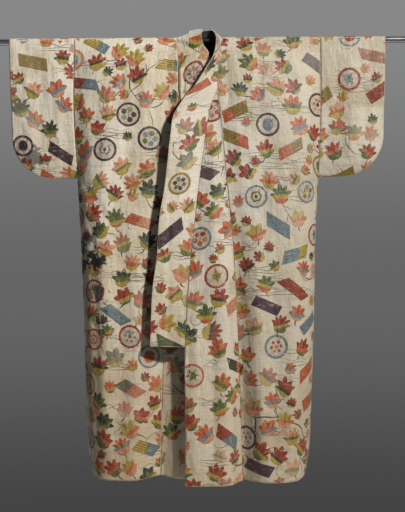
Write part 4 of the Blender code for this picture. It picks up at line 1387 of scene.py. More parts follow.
def silk_weave_group() -> bpy.types.NodeTree:
    """Warp and weft of the silk: a height for the bump and a tone for the colour."""
    tree, g = new_group("silk_weave", [("Weft Pitch", "NodeSocketFloat", 0.0012),
                                       ("Warp Pitch", "NodeSocketFloat", 0.0008)],
                        [("Height", "NodeSocketFloat"), ("Tone", "NodeSocketFloat")])
    given = g.node("NodeGroupInput")
    flat = g.node("ShaderNodeSeparateXYZ", {0: g.uv("cloth")})
    wobble = g.noise(g.uv("cloth"), 90.0, 2.0)
    rows = g.math("DIVIDE", g.math("ADD", flat.outputs[1], g.math("MULTIPLY", wobble, 0.0009)),
                  given.outputs["Weft Pitch"])
    columns = g.math("DIVIDE", flat.outputs[0], given.outputs["Warp Pitch"])
    weft = g.math("ABSOLUTE", g.math("SINE", g.math("MULTIPLY", rows, math.pi)))
    warp = g.math("ABSOLUTE", g.math("SINE", g.math("MULTIPLY", columns, math.pi)))
    slub = g.noise(g.stretch(g.uv("cloth"), (9.0, 260.0, 1.0)), 1.6, 4.0, 0.7)
    height = g.math("ADD", g.math("MULTIPLY", weft, 0.6), g.math("MULTIPLY", warp, 0.25))
    height = g.math("ADD", height, g.math("MULTIPLY", slub, 0.5))
    tone = g.ramp(slub, 0.32, 0.70)
    g.node("NodeGroupOutput", {"Height": height, "Tone": tone})
    return tree


def age_group() -> bpy.types.NodeTree:
    """Yellowing, dirt, small specks and the dark stains of old silk, with painted shade on the wearer's
    left side, low on the wearer's right and towards the hem, laid over a colour.
    """
    tree, g = new_group("silk_age", [("Color", "NodeSocketColor", (0.5, 0.5, 0.5, 1.0)),
                                     ("Soil And Shade", "NodeSocketFloat", 1.0)],
                        [("Color", "NodeSocketColor"), ("Dark", "NodeSocketFloat")])
    given = g.node("NodeGroupInput")
    place = g.place()
    soil_and_shade = given.outputs["Soil And Shade"]
    height = g.node("ShaderNodeSeparateXYZ", {0: place}).outputs[2]
    # painted shade: darker towards the hem, copying light that falls off down the robe
    low = g.ramp(height, -0.35, -1.60)
    across = g.node("ShaderNodeSeparateXYZ", {0: place}).outputs[0]
    # painted shade: darker low on the wearer's right side
    painted_shade_lower_right = g.math("MULTIPLY", g.ramp(across, -0.02, -0.20), g.ramp(height, -0.90, -1.25))
    # painted shade: darker towards the wearer's left side (+X)
    painted_shade_wearers_left = g.math("MULTIPLY", g.ramp(across, -0.24, 0.30), soil_and_shade)
    yellow = g.math("MULTIPLY", g.ramp(g.noise(place, 2.2, 4.0), 0.40, 0.72), 0.40)
    colour = g.mix(g.math("MULTIPLY", yellow, soil_and_shade), given.outputs["Color"],
                   rgba(206, 188, 142), "MULTIPLY")
    colour = g.mix(painted_shade_wearers_left, colour, rgba(222, 221, 218), "MULTIPLY")
    colour = g.mix(g.math("MULTIPLY", painted_shade_lower_right, soil_and_shade), colour, rgba(232, 227, 220), "MULTIPLY")
    colour = g.mix(g.math("MULTIPLY", g.math("MULTIPLY", low, 0.9), soil_and_shade), colour,
                   rgba(232, 224, 212), "MULTIPLY")
    grime = g.ramp(g.noise(place, 7.0, 6.0, 0.65), 0.52, 0.80)
    colour = g.mix(g.math("MULTIPLY", g.math("MULTIPLY", grime, 0.62), soil_and_shade), colour,
                   rgba(178, 163, 136), "MULTIPLY")
    specks = g.ramp(g.noise(place, 150.0, 2.0, 0.5), 0.735, 0.80)
    patchy = g.ramp(g.noise(place, 5.0, 2.0), 0.50, 0.66)
    dark = g.math("MULTIPLY", g.math("MULTIPLY", specks, patchy), 0.55)
    spatter = g.ramp(g.noise(place, 105.0, 2.0, 0.5), 0.615, 0.655)
    ragged = g.noise(place, 34.0, 6.0, 0.68)
    broad = g.noise(place, 13.0, 3.0, 0.6)
    for stain in STAINS:
        away = g.node("ShaderNodeVectorMath", {0: place, 1: (stain.x, stain.y, stain.z)},
                      operation="DISTANCE").outputs["Value"]
        edge = g.math("SUBTRACT", 1.0, g.math("DIVIDE", away, stain.reach * 1.35))
        torn = g.math("ADD", edge, g.math("MULTIPLY", g.math("SUBTRACT", ragged, 0.52), 3.4))
        torn = g.math("ADD", torn, g.math("MULTIPLY", g.math("SUBTRACT", broad, 0.5), 2.2))
        reach = g.ramp(edge, -0.5, 0.25)
        core = g.math("MULTIPLY", g.ramp(torn, 0.30, 0.52), reach)
        dark = g.math("MAXIMUM", dark, g.math("MULTIPLY", core, stain.strength))
        near = g.ramp(away, stain.reach * 2.8, stain.reach * 0.8)
        dark = g.math("MAXIMUM", dark, g.math("MULTIPLY", g.math("MULTIPLY", spatter, near), 0.85))
    colour = g.mix(dark, colour, rgba(30, 26, 26))
    g.node("NodeGroupOutput", {"Color": colour, "Dark": dark})
    return tree


def finish_of(name: str) -> tuple[bpy.types.Material, Graph, bpy.types.Node]:
    """A new material, a graph in it and its shader."""
    material = bpy.data.materials.new(name)
    material.use_nodes = True
    shader = material.node_tree.nodes["Principled BSDF"]
    return material, Graph(material.node_tree), shader


@dataclass(frozen=True)
class BrocadeGround:
    """The cream silk ground between the figures."""

    light: tuple[int, int, int] = (218, 210, 196)
    warm: tuple[int, int, int] = (210, 198, 176)
    edge: tuple[int, int, int] = (196, 172, 132)
    bump: float = 0.35

    def make(self, weave: bpy.types.NodeTree, age: bpy.types.NodeTree) -> bpy.types.Material:
        """Builds the finish from the shared weave and age groups."""
        material, g, shader = finish_of("brocade_ground")
        threads = g.node("ShaderNodeGroup", node_tree=weave)
        place = g.place()
        patches = g.ramp(g.noise(place, 3.4, 4.0), 0.35, 0.68)
        colour = g.mix(patches, rgba(*self.light), rgba(*self.warm))
        colour = g.mix(g.math("MULTIPLY", threads.outputs["Tone"], 0.34), colour,
                       rgba(186, 178, 158), "MULTIPLY")
        watered = g.noise(g.stretch(g.uv("cloth"), (5.0, 46.0, 1.0)), 1.0, 5.0, 0.7)
        colour = g.mix(g.ramp(watered, 0.52, 0.72, 0.0, 0.26), colour, rgba(150, 150, 134),
                       "MULTIPLY")
        mottle = g.noise(g.stretch(g.uv("cloth"), (110.0, 150.0, 1.0)), 1.0, 4.0, 0.7)
        colour = g.mix(g.ramp(mottle, 0.50, 0.76, 0.0, 0.34), colour, rgba(146, 150, 132), "MULTIPLY")
        rim = g.ramp(g.attribute("hem", "Fac"), 0.006, 0.0003)
        worn = g.math("MULTIPLY", rim, g.ramp(g.noise(place, 24.0, 4.0), 0.34, 0.62))
        colour = g.mix(g.math("MULTIPLY", worn, 0.34), colour, rgba(*self.edge), "MULTIPLY")
        old = g.node("ShaderNodeGroup", {"Color": colour, "Soil And Shade": 1.0}, node_tree=age)
        g.feed(shader.inputs["Base Color"], old.outputs["Color"])
        rough = g.ramp(g.noise(g.stretch(g.uv("cloth"), (20.0, 120.0, 1.0)), 1.0, 3.0), 0.3, 0.7,
                       0.50, 0.66)
        g.feed(shader.inputs["Roughness"], rough)
        shader.inputs["Sheen Weight"].default_value = 0.18
        shader.inputs["Sheen Roughness"].default_value = 0.45
        shader.inputs["Specular IOR Level"].default_value = 0.38
        fine = g.node("ShaderNodeBump", {"Strength": self.bump, "Distance": 0.00025,
                                         "Height": threads.outputs["Height"]})
        g.feed(shader.inputs["Normal"], g.creased(fine.outputs[0]))
        return material


@dataclass(frozen=True)
class FigureSilk:
    """The glossed coloured threads that float over the ground in the figures."""

    jag: float = 0.006
    stripe_pitch: float = 0.0082

    def make(self, weave: bpy.types.NodeTree, age: bpy.types.NodeTree) -> bpy.types.Material:
        """Builds the finish from the shared weave and age groups."""
        material, g, shader = finish_of("figure_silk")
        threads = g.node("ShaderNodeGroup", {"Weft Pitch": 0.0017, "Warp Pitch": 0.0031},
                         node_tree=weave)
        local = g.node("ShaderNodeSeparateXYZ", {0: g.uv("figure")})
        bands = g.node("ShaderNodeSeparateColor", {0: g.attribute("bands", "Color")})
        seed = g.node("ShaderNodeAttribute", attribute_name="bands").outputs["Alpha"]
        tilt = g.math("MULTIPLY", local.outputs[0], g.math("MULTIPLY", g.math("SUBTRACT", seed, 0.5), 1.3))
        jag = g.math("MULTIPLY", g.math("SUBTRACT", g.noise(g.uv("cloth"), 130.0, 2.0), 0.5), self.jag)
        height = g.math("ADD", g.math("ADD", local.outputs[1], tilt), jag)
        above = g.ramp(g.math("SUBTRACT", height, bands.outputs[0]), -0.0022, 0.0022)
        middle = g.ramp(g.math("SUBTRACT", height, bands.outputs[1]), -0.0016, 0.0016)
        colour = g.mix(middle, g.attribute("tint_c", "Color"), g.attribute("tint_b", "Color"))
        colour = g.mix(above, colour, g.attribute("tint_a", "Color"))
        lines = g.math("SINE", g.math("MULTIPLY", local.outputs[0], 2 * math.pi / self.stripe_pitch))
        lines = g.math("MULTIPLY", g.ramp(lines, 0.25, 0.75), bands.outputs[2])
        broken = g.ramp(g.noise(g.stretch(g.uv("figure"), (60.0, 90.0, 1.0)), 1.0, 2.0), 0.36, 0.50)
        colour = g.mix(g.math("MULTIPLY", lines, broken), colour, rgba(74, 48, 40))
        foot = g.math("ADD", local.outputs[1], 0.034)
        turn = g.math("ARCTAN2", local.outputs[0], foot)
        spread = g.node("ShaderNodeCombineXYZ", {0: g.math("MULTIPLY", turn, 9.0),
                                                 1: g.math("MULTIPLY", foot, 34.0), 2: seed}).outputs[0]
        veins = g.noise(spread, 1.0, 3.0, 0.6)
        leafy = g.math("SUBTRACT", 1.0, bands.outputs[2], True)
        colour = g.mix(g.math("MULTIPLY", g.ramp(veins, 0.50, 0.66, 0.0, 0.66), leafy), colour,
                       rgba(112, 78, 60), "MULTIPLY")
        colour = g.mix(g.math("MULTIPLY", g.ramp(veins, 0.44, 0.30, 0.0, 0.42), leafy), colour,
                       rgba(224, 200, 160))
        shade = g.noise(g.stretch(g.uv("cloth"), (40.0, 420.0, 1.0)), 1.0, 3.0, 0.6)
        colour = g.mix(g.ramp(shade, 0.36, 0.64, 0.0, 0.42), colour, rgba(150, 140, 128), "MULTIPLY")
        bald = g.noise(g.stretch(g.uv("cloth"), (26.0, 60.0, 1.0)), 1.3, 5.0, 0.72)
        colour = g.mix(g.ramp(bald, 0.55, 0.70, 0.0, 0.62), colour, rgba(206, 190, 162))
        colour = g.mix(1.0, colour, rgba(236, 230, 226), "MULTIPLY")
        fade = g.math("FRACT", g.math("MULTIPLY", seed, 7.3))
        colour = g.mix(g.ramp(fade, 0.72, 1.0, 0.0, 0.24), colour, rgba(206, 190, 166))
        old = g.node("ShaderNodeGroup", {"Color": colour, "Soil And Shade": 0.6}, node_tree=age)
        g.feed(shader.inputs["Base Color"], old.outputs["Color"])
        g.feed(shader.inputs["Roughness"], g.ramp(shade, 0.3, 0.7, 0.40, 0.58))
        shader.inputs["Sheen Weight"].default_value = 0.12
        shader.inputs["Specular IOR Level"].default_value = 0.42
        bump = g.node("ShaderNodeBump", {"Strength": 0.45, "Distance": 0.0004,
                                         "Height": threads.outputs["Height"]})
        g.feed(shader.inputs["Normal"], g.creased(bump.outputs[0]))
        return material


@dataclass(frozen=True)
class DarkLining:
    """The plain near-black silk inside the robe."""

    deep: tuple[int, int, int] = (20, 20, 20)
    faded: tuple[int, int, int] = (46, 42, 40)

    def make(self, weave: bpy.types.NodeTree) -> bpy.types.Material:
        """Builds the finish from the shared weave group."""
        material, g, shader = finish_of("dark_lining_silk")
        threads = g.node("ShaderNodeGroup", {"Weft Pitch": 0.0009, "Warp Pitch": 0.0009},
                         node_tree=weave)
        fade = g.ramp(g.noise(g.place(), 6.0, 4.0), 0.42, 0.74)
        colour = g.mix(g.math("MULTIPLY", fade, 0.6), rgba(*self.deep), rgba(*self.faded))
        colour = g.mix(g.math("MULTIPLY", threads.outputs["Tone"], 0.3), colour, rgba(*self.deep))
        g.feed(shader.inputs["Base Color"], colour)
        g.feed(shader.inputs["Roughness"], g.ramp(fade, 0.0, 1.0, 0.62, 0.78))
        shader.inputs["Sheen Weight"].default_value = 0.10
        bump = g.node("ShaderNodeBump", {"Strength": 0.3, "Distance": 0.0002,
                                         "Height": threads.outputs["Height"]})
        g.feed(shader.inputs["Normal"], bump.outputs[0])
        return material


@dataclass(frozen=True)
class BrushedSteel:
    """The rod's steel: fine draw lines along it and faint smears."""

    bright: tuple[int, int, int] = (196, 198, 202)
    dull: tuple[int, int, int] = (146, 148, 152)

    def make(self) -> bpy.types.Material:
        """Builds the finish."""
        material, g, shader = finish_of("rod_brushed_steel")
        place = g.place()
        drawn = g.noise(g.stretch(place, (1.2, 240.0, 240.0)), 3.0, 3.0, 0.6)
        smear = g.ramp(g.noise(place, 8.0, 5.0), 0.40, 0.70)
        steel = g.mix(g.math("MULTIPLY", drawn, smear), rgba(*self.bright), rgba(*self.dull))
        along = g.math("ABSOLUTE", g.node("ShaderNodeSeparateXYZ", {0: place}).outputs[0])
        # painted shade: the rod is darkened and made rougher along the part that lies inside the robe
        painted_shade_inside_robe = g.ramp(g.math("ADD", along, g.math("MULTIPLY", smear, 0.01)), 0.665, 0.640)
        g.feed(shader.inputs["Base Color"], g.mix(painted_shade_inside_robe, steel, rgba(58, 57, 58)))
        rough = g.math("ADD", g.ramp(drawn, 0.3, 0.7, 0.16, 0.28), g.math("MULTIPLY", smear, 0.10))
        rough = g.math("ADD", rough, g.math("MULTIPLY", painted_shade_inside_robe, 0.25))
        g.feed(shader.inputs["Roughness"], rough)
        shader.inputs["Metallic"].default_value = 1.0
        bump = g.node("ShaderNodeBump", {"Strength": 0.12, "Distance": 0.0002, "Height": drawn})
        g.feed(shader.inputs["Normal"], bump.outputs[0])
        return material


@dataclass(frozen=True)
class SilkThread:
    """A sewing thread's finish."""

    name: str
    light: tuple[int, int, int]
    dark: tuple[int, int, int]

    def make(self) -> bpy.types.Material:
        """Builds the finish, with the thread's twist as a bump."""
        material, g, shader = finish_of(self.name)
        place = g.place()
        twist = g.noise(g.stretch(place, (1.0, 1.0, 0.4)), 900.0, 2.0)
        g.feed(shader.inputs["Base Color"], g.mix(g.ramp(twist, 0.3, 0.7), rgba(*self.light),
                                                  rgba(*self.dark)))
        g.feed(shader.inputs["Roughness"], g.ramp(twist, 0.3, 0.7, 0.45, 0.70))
        bump = g.node("ShaderNodeBump", {"Strength": 0.5, "Distance": 0.0002, "Height": twist})
        g.feed(shader.inputs["Normal"], bump.outputs[0])
        return material


@dataclass(frozen=True)
class StitchTree:
    """The Geometry Nodes tree that lays short stitches along drawn lines.

    Attributes:
        stitch: a stitch's length.
        thread: the thread's radius.
    """

    stitch: float = 0.0034
    thread: float = 0.00042

    def make(self) -> bpy.types.NodeTree:
        """Builds the tree, with Spacing, Stitch, Thread and Material inputs."""
        tree = bpy.data.node_groups.new("seam_stitches", "GeometryNodeTree")
        face = tree.interface
        face.new_socket("Geometry", in_out="INPUT", socket_type="NodeSocketGeometry")
        for label, value in (("Spacing", 0.0085), ("Stitch", self.stitch), ("Thread", self.thread)):
            face.new_socket(label, in_out="INPUT", socket_type="NodeSocketFloat").default_value = value
        face.new_socket("Material", in_out="INPUT", socket_type="NodeSocketMaterial")
        face.new_socket("Geometry", in_out="OUTPUT", socket_type="NodeSocketGeometry")
        g = Graph(tree)
        given = g.node("NodeGroupInput").outputs
        line = g.node("GeometryNodeMeshToCurve", {0: given["Geometry"]}).outputs[0]
        points = g.node("GeometryNodeCurveToPoints", {"Curve": line, "Length": given["Spacing"]},
                        mode="LENGTH")
        shape = g.node("GeometryNodeMeshCylinder", {"Vertices": 6, "Radius": given["Thread"],
                                                    "Depth": given["Stitch"]}, fill_type="NGON")
        aim = g.node("FunctionNodeAlignRotationToVector", {"Vector": points.outputs["Tangent"]},
                     axis="Z")
        uneven = g.node("FunctionNodeRandomValue", {"Min": (0.8, 0.8, 0.7), "Max": (1.2, 1.2, 1.2),
                                                    "Seed": 11}, data_type="FLOAT_VECTOR")
        set_out = g.node("GeometryNodeInstanceOnPoints",
                         {"Points": points.outputs["Points"], "Instance": shape.outputs["Mesh"],
                          "Rotation": aim.outputs[0], "Scale": uneven.outputs[0]})
        real = g.node("GeometryNodeRealizeInstances", {0: set_out.outputs[0]})
        dressed = g.node("GeometryNodeSetMaterial", {0: real.outputs[0], "Material": given["Material"]})
        g.node("NodeGroupOutput", {0: dressed.outputs[0]})
        return tree

    @staticmethod
    def sew(name: str, lines: Sequence[Array], tree: bpy.types.NodeTree, spacing: float,
            material: bpy.types.Material) -> bpy.types.Object:
        """Stitches along lines, as one plain mesh.

        Args:
            name: the new piece's name.
            lines: the points of each line.
            tree: the stitch tree.
            spacing: from one stitch to the next.
            material: the thread's finish.

        Returns:
            The new object.
        """
        mesh = bpy.data.meshes.new(f"{name}_lines")
        points, edges = [], []
        for line in lines:
            edges += [(len(points) + k, len(points) + k + 1) for k in range(len(line) - 1)]
            points += [tuple(p) for p in line]
        mesh.from_pydata(points, edges, [])
        drawn = bpy.data.objects.new(f"{name}_lines", mesh)
        bpy.context.scene.collection.objects.link(drawn)
        modifier = drawn.modifiers.new("stitches", "NODES")
        modifier.node_group = tree
        sockets = {item.name: item.identifier for item in tree.interface.items_tree
                   if item.in_out == "INPUT"}
        modifier[sockets["Spacing"]] = spacing
        modifier[sockets["Material"]] = material
        graph = bpy.context.evaluated_depsgraph_get()
        made = bpy.data.meshes.new_from_object(drawn.evaluated_get(graph))
        made.name = name
        bpy.data.objects.remove(drawn)
        obj = bpy.data.objects.new(name, made)
        bpy.context.scene.collection.objects.link(obj)
        return obj


@dataclass
class Robe:
    """The whole robe: its cloths, their figures, the collar's lining and the sewing.

    Attributes:
        form: the plain form that the cloth hangs in.
        drape: its folds.
        grid: the distance between points of a cloth.
        thickness: a cloth's thickness.
        collar_thickness: the folded collar's thickness.
    """

    form: RobeForm
    drape: Drape
    ground: bpy.types.Material
    figures: bpy.types.Material
    lining: bpy.types.Material
    light_thread: bpy.types.Material
    dark_thread: bpy.types.Material
    grid: float = 0.0068
    thickness: float = 0.0014
    collar_thickness: float = 0.0026
    sheets: dict[str, Sheet] = field(default_factory=dict)

    def rows(self, first: float, last: float) -> Array:
        """Stations from first to last, closer together over the rod and round the neck."""
        top, low = max(first, -0.060), 0.030
        parts = []
        if first < -0.060:
            parts.append(np.linspace(first, top, max(2, round((top - first) / self.grid))))
        if first < low:
            parts.append(np.linspace(top, low, round((low - top) / 0.0022)))
        start = max(first, low)
        parts.append(np.linspace(start, last, round((last - start) / self.grid)))
        return np.unique(np.round(np.concatenate(parts), 6))

    def dress(self, name: str, base: Array, shares: Array, stations: Array, side: int,
              facing: int) -> Sheet:
        """Gives a plain inner face its cloth and its folds.

        Args:
            name: the piece's name.
            base: the inner face, rows by columns by 3.
            shares: the columns.
            stations: the rows.
            side: 1 for the wearer's left, -1 for the right.
            facing: the sign that turns the grid's normals out of the robe.

        Returns:
            The sheet, kept under its name.
        """
        normal = Sheet.normals(base) * facing
        x, z = base[..., 0], base[..., 2]
        hang = np.abs(stations)[:, None] - self.form.over_rod + 0 * x
        flat = Sheet(name, shares, stations, base, facing)
        from_first, from_last = flat.across, flat.width[:, None] - flat.across
        sleeve, length = name.startswith("sleeve"), name.startswith("length")
        back = (stations < 0)[:, None] & (length or sleeve)
        if length or sleeve:
            sewn = hang[:, 0] <= self.form.sleeve_drop + 0.005
            normal[sewn, 0, 0] = 0.0
        if length:
            normal[stations < 0, -1, 0] = 0.0
            low = ~sewn & (stations > 0)
            normal[low, 0, 1] = np.minimum(normal[low, 0, 1], 0.0)
            low = ~sewn & (stations < 0)
            normal[low, 0, 1] = np.maximum(normal[low, 0, 1], 0.0)
        outer = base + unit(normal) * self.form.cloth
        depth = self.fold_depth(sleeve, back, x, z)
        top = smooth((hang - 0.004) / 0.07)
        if length:
            depth = depth * smooth(from_first / 0.035)
        if sleeve:
            depth = depth * smooth(from_first / 0.03) * smooth((self.form.sleeve_drop - hang) / 0.03)
            depth = depth * smooth(from_last / 0.02)
        if name.startswith("collar"):
            depth = depth * smooth((stations[:, None] - 0.07) / 0.10)
        if length or sleeve:
            sewn = smooth((self.form.sleeve_drop + 0.01 - hang) / 0.03)
            depth = depth + self.drape.puckers(from_first, z, 4 + side) * sewn
        seam = {"length": from_last, "overlap": from_last}.get(name.split("_")[0])
        if seam is not None:
            depth = depth + self.drape.puckers(seam, z, 9) * 0.55 * ~back
        seam = {"overlap": from_first, "collar": from_first}.get(name.split("_")[0])
        if seam is not None:
            depth = depth + self.drape.puckers(seam, z, 13) * 0.6 * smooth((hang - 0.1) / 0.1)
        depth = depth * top
        if name == "collar_right":
            depth = depth + self.drape.folds(NECK_FOLDS, x, z) * (stations > 0)[:, None]
        outer[..., 1] += np.where(back, 1.0, -1.0) * depth
        sheet = Sheet(name, shares, stations, outer, facing)
        self.sheets[name] = sheet
        return sheet

    def fold_depth(self, sleeve: bool, back: Array, x: Array, z: Array) -> Array:
        """How far the folds stand out at each point."""
        if sleeve:
            front = self.drape.folds(SLEEVE_FOLDS, x, z) + self.drape.ripples(x, z, 7)
            return np.where(back, -0.7 * front + self.drape.ripples(x, z, 8), front)
        front = self.drape.folds(FRONT_FOLDS, x, z) + self.drape.ripples(x, z, 3)
        if not back.any():
            return front
        rear = self.drape.folds(BACK_FOLDS, x, z) + self.drape.ripples(x, z, 5)
        return np.where(back, rear, front)

    def lay_out(self) -> None:
        """Makes every cloth's grid."""
        form = self.form
        whole = form.over_rod + form.last_drop
        for side, word in SIDES.items():
            shares = np.linspace(0, 1, 56)
            rows = self.rows(-whole, whole)
            base = form.length(side, shares[None, :], rows[:, None])
            self.dress(f"length_{word}", base, shares, rows, side, side)
            shares = np.linspace(0, 1, 28)
            rows = self.rows(form.over_rod + form.overlap_tip, whole)
            base = form.overlap(side, shares[None, :], rows[:, None])
            self.dress(f"overlap_{word}", base, shares, rows, side, -side)
            shares = np.linspace(0, 1, 48)
            rows = self.rows(-form.neck_cut_depth, form.over_rod + form.collar_end)
            base = form.collar(side, shares[None, :], rows[:, None])
            self.dress(f"collar_{word}", base, shares, rows, side, side)
            shares = np.linspace(0, 1, 36)
            drop = form.over_rod + form.sleeve_drop
            rows = self.rows(-drop, drop)
            base = form.sleeve(side, shares[None, :], rows[:, None])
            self.dress(f"sleeve_{word}", base, shares, rows, side, -side)

    def build_cloth(self, name: str, seed: int, nodes: Sequence[str]) -> None:
        """Builds one cloth with its figures, attaches both to the frame and hides the CAD nodes that they
        stand for.

        Args:
            name: the sheet's name.
            seed: the figures' layout.
            nodes: the CAD nodes that it stands for.
        """
        sheet = self.sheets[name]
        thick = self.collar_thickness if name.startswith("collar") else self.thickness
        cloth = sheet.shell(thick, self.ground, self.lining)
        weaving = Weaving(sheet, seed, 0.004 if name.startswith("collar") else 0.009)
        weaving.scatter(lambda station: 0.0 if station > 0 else math.pi)
        figures = weaving.build(self.figures)
        for piece in (cloth, figures):
            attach(piece, "root")
        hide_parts(*nodes)
        flat = (round(float(sheet.width.max()), 3), round(float(np.ptp(sheet.down)), 3))
        area = min(sheet.area(), flat[0] * flat[1])
        log.info("%s: %d faces, %d figure faces, flat %s m", name, len(cloth.data.polygons),
                 len(figures.data.polygons), flat)

    def build_lining(self) -> None:
        """The dark lining seen through the neck, up the back and the standing collar."""
        form = self.form
        gap, thick = 0.0012, 0.0010
        columns = np.linspace(-0.020, 0.062, 29)
        drops = np.linspace(0.200, 0.036, 15)
        heights = np.linspace(0.08, 0.995, 13)
        centre_y = read(BACK, "centre_y", -drops)
        inward = 0.006 * smooth((drops - 0.036) / 0.030)
        near, away = [], []
        for side in (-1, 1):
            x = columns[columns >= 0] if side > 0 else columns[columns < 0]
            station = -form.neck_cut_depth * np.sqrt(1 - (x / form.neck_half[side]) ** 2)
            seam, out, _ = form.carrier(side, station)
            share, place = heights[:, None], station[None, :]
            point = form.collar(side, share, place)
            run = form.collar(side, share, place + form.step) - form.collar(side, share, place - form.step)
            rise = form.collar(side, share + 0.02, place) - point
            normal = unit(np.cross(run, rise))
            normal = normal * np.where(normal[..., 1:2] > 0, -1.0, 1.0)
            for offset, parts in ((gap, near), (gap + thick, away)):
                low = np.stack(np.broadcast_arrays(x[None, :], (centre_y - offset - inward)[:, None],
                                                   -drops[:, None]), -1)
                parts.append(np.concatenate([low, (seam - out * offset)[None], point + normal * offset]))
        faces = [np.concatenate(parts, 1) for parts in (near, away)]
        rows = np.arange(faces[0].shape[0], dtype=float) * 0.015
        sheet = Sheet("neck_lining", np.linspace(0, 1, len(columns)), rows, faces[0], 1)
        sheet.normal = unit(faces[0] - faces[1])
        lining = sheet.shell(thick, self.lining, self.lining)
        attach(lining, "root")
        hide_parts("neck_lining")

    def sew(self) -> None:
        """The stitches along the seams and edges, and the dark tacks at the neck."""
        tree = StitchTree().make()
        seams = []
        for word in SIDES.values():
            length, collar = self.sheets[f"length_{word}"], self.sheets[f"collar_{word}"]
            overlap, sleeve = self.sheets[f"overlap_{word}"], self.sheets[f"sleeve_{word}"]
            seams.append(self.line(overlap, 0.96, 0.22, 1.54))
            seams.append(self.line(collar, 0.05, 0.05, 1.08))
            seams.append(self.line(collar, 0.955, 0.06, 1.08))
            seams.append(self.line(sleeve, 0.96, -0.24, 0.24))
            seams.append(self.line(length, 0.992, -1.53, -0.06))
            seams.append(self.line(length, 0.015, -0.49, 0.49))
        pale = StitchTree.sew("seam_stitches", seams, tree, 0.0105, self.light_thread)
        tacks = []
        collar = self.sheets["collar_right"]
        for x, z, dx, dz in ((-0.044, -0.008, 0.001, -0.019), (-0.034, -0.009, 0.001, -0.017)):
            tacks.append(self.between_points(collar, (x, z), (x + dx, z + dz)))
        cross = self.sheets["collar_left"]
        for x, z, dx, dz in ((-0.043, -0.170, 0.030, -0.006), (-0.036, -0.184, 0.022, 0.018),
                             (-0.028, -0.164, 0.006, -0.022)):
            tacks.append(self.between_points(cross, (x, z), (x + dx, z + dz)))
        dark = StitchTree.sew("dark_tacks", tacks, tree, 0.0036, self.dark_thread)
        for piece in (pale, dark):
            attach(piece, "root")

    @staticmethod
    def line(sheet: Sheet, share: float, first: float, last: float) -> Array:
        """A line down a cloth at one share of its width."""
        down = sheet.down_at(np.arange(first, last, 0.01))
        return sheet.place(np.full(len(down), share), down, 0.0005)

    @staticmethod
    def between_points(sheet: Sheet, start: tuple[float, float], end: tuple[float, float]) -> Array:
        """A short line on a cloth between two places seen face on, as x and z."""
        found = []
        for x, z in (start, end):
            away = np.hypot(sheet.outer[..., 0] - x, sheet.outer[..., 2] - z)
            i, j = np.unravel_index(away.argmin(), away.shape)
            found.append((sheet.shares[j], sheet.down[i]))
        t = np.linspace(0, 1, 8)
        (u0, s0), (u1, s1) = found
        return sheet.place(u0 + (u1 - u0) * t, s0 + (s1 - s0) * t, 0.0007)

    def build(self) -> None:
        """Makes the whole robe."""
        self.lay_out()
        for k, (side, word) in enumerate(SIDES.items()):
            self.build_cloth(f"length_{word}", 21 + k, (f"front_{word}", f"back_{word}"))
            self.build_cloth(f"overlap_{word}", 41 + k, (f"overlap_{word}",))
            self.build_cloth(f"collar_{word}", 61 + k, (f"collar_{word}",))
            self.build_cloth(f"sleeve_{word}", 81 + k,
                             (f"sleeve_{word}_front", f"sleeve_{word}_back"))
        self.build_lining()
        self.sew()


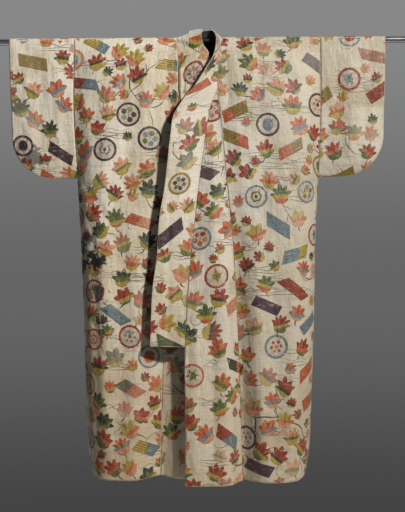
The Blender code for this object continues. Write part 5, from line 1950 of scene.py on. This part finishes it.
@dataclass(frozen=True)
class Studio:
    """The camera, the lights, the backdrop colour and the pale floor."""

    eye: tuple[float, float, float] = (0.01325, -4.2, -0.7596)
    lens: float = 83.58
    roll: float = 0.43
    floor: float = -1.98
    floor_radius: float = 1.35

    def camera(self) -> None:
        """A level camera at the photograph's place, rolled a little."""
        data = bpy.data.cameras.new("camera")
        data.lens = self.lens
        data.sensor_width = 36.0
        camera = bpy.data.objects.new("camera", data)
        camera.location = self.eye
        camera.rotation_euler = (math.pi / 2, math.radians(self.roll), 0.0)
        bpy.context.scene.collection.objects.link(camera)
        bpy.context.scene.camera = camera

    def light(self, name: str, at: tuple[float, float, float], size: float, power: float,
              tint: tuple[float, float, float]) -> None:
        """A soft square light that looks at the robe."""
        data = bpy.data.lights.new(name, "AREA")
        data.size = size
        data.energy = power
        data.color = tint
        lamp = bpy.data.objects.new(name, data)
        lamp.location = at
        lamp.rotation_euler = (Vector((0.0, 0.0, -0.75)) - Vector(at)).to_track_quat("-Z", "Y").to_euler()
        bpy.context.scene.collection.objects.link(lamp)

    def backdrop(self) -> None:
        """A plain grey world, lighter towards the top, that also fills the shadows."""
        world = bpy.data.worlds.new("studio")
        bpy.context.scene.world = world
        world.use_nodes = True
        g = Graph(world.node_tree)
        world.node_tree.nodes.clear()
        up = g.node("ShaderNodeSeparateXYZ", {0: g.node("ShaderNodeTexCoord").outputs["Generated"]})
        colour = g.mix(g.ramp(up.outputs[2], -0.22, -0.03), rgba(67, 67, 67), rgba(101, 101, 101))
        colour = g.mix(g.ramp(up.outputs[2], -0.03, 0.205), colour, rgba(136, 136, 137))
        seen = g.node("ShaderNodeBackground", {"Color": colour, "Strength": 1.0})
        fill = g.node("ShaderNodeBackground", {"Color": (0.92, 0.95, 1.0, 1.0), "Strength": 0.06})
        path = g.node("ShaderNodeLightPath")
        both = g.node("ShaderNodeMixShader", {0: path.outputs["Is Camera Ray"], 1: fill.outputs[0],
                                              2: seen.outputs[0]})
        g.node("ShaderNodeOutputWorld", {0: both.outputs[0]})

    def ground(self) -> None:
        """A plain pale floor below the robe."""
        material, g, shader = finish_of("floor_paper")
        tone = g.noise(g.place(), 3.0, 3.0)
        g.feed(shader.inputs["Base Color"], g.mix(tone, rgba(196, 195, 193), rgba(206, 205, 203)))
        shader.inputs["Roughness"].default_value = 0.9
        a = np.arange(96) * 2 * math.pi / 96
        points = [(self.floor_radius * math.cos(t), self.floor_radius * math.sin(t), self.floor)
                  for t in a]
        mesh = bpy.data.meshes.new("floor")
        mesh.from_pydata(points, [], [list(range(96))])
        mesh.materials.append(material)
        floor = bpy.data.objects.new("floor", mesh)
        bpy.context.scene.collection.objects.link(floor)

    def build(self) -> None:
        """Sets up everything but the robe."""
        self.light("key_light", (4.4, -5.6, 3.6), 0.62, 920.0, (1.0, 0.985, 0.955))
        self.light("fill_light", (-3.4, -6.6, 0.9), 2.6, 26.0, (0.95, 0.975, 1.0))
        self.light("back_light", (-3.4, 7.4, 3.0), 1.6, 640.0, (1.0, 0.99, 0.97))
        self.backdrop()
        self.ground()
        view = bpy.context.scene.view_settings
        view.view_transform = "Standard"
        view.look = "None"


def main() -> None:
    """Loads the frame, dresses the robe and sets up the studio."""
    logging.basicConfig(level=logging.INFO, format="%(message)s")
    for obj in list(bpy.data.objects):
        bpy.data.objects.remove(obj)
    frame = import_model()
    studio = Studio()
    studio.camera()
    weave, age = silk_weave_group(), age_group()
    rod = frame["nodes"]["rod"]
    rod.data.materials.clear()
    rod.data.materials.append(BrushedSteel().make())
    robe = Robe(RobeForm(), Drape(), BrocadeGround().make(weave, age),
                FigureSilk().make(weave, age), DarkLining().make(weave),
                SilkThread("pale_thread", (200, 186, 150), (150, 132, 98)).make(),
                SilkThread("dark_thread", (44, 38, 36), (20, 18, 18)).make())
    robe.build()
    studio.build()


if __name__ == "__main__":
    main()
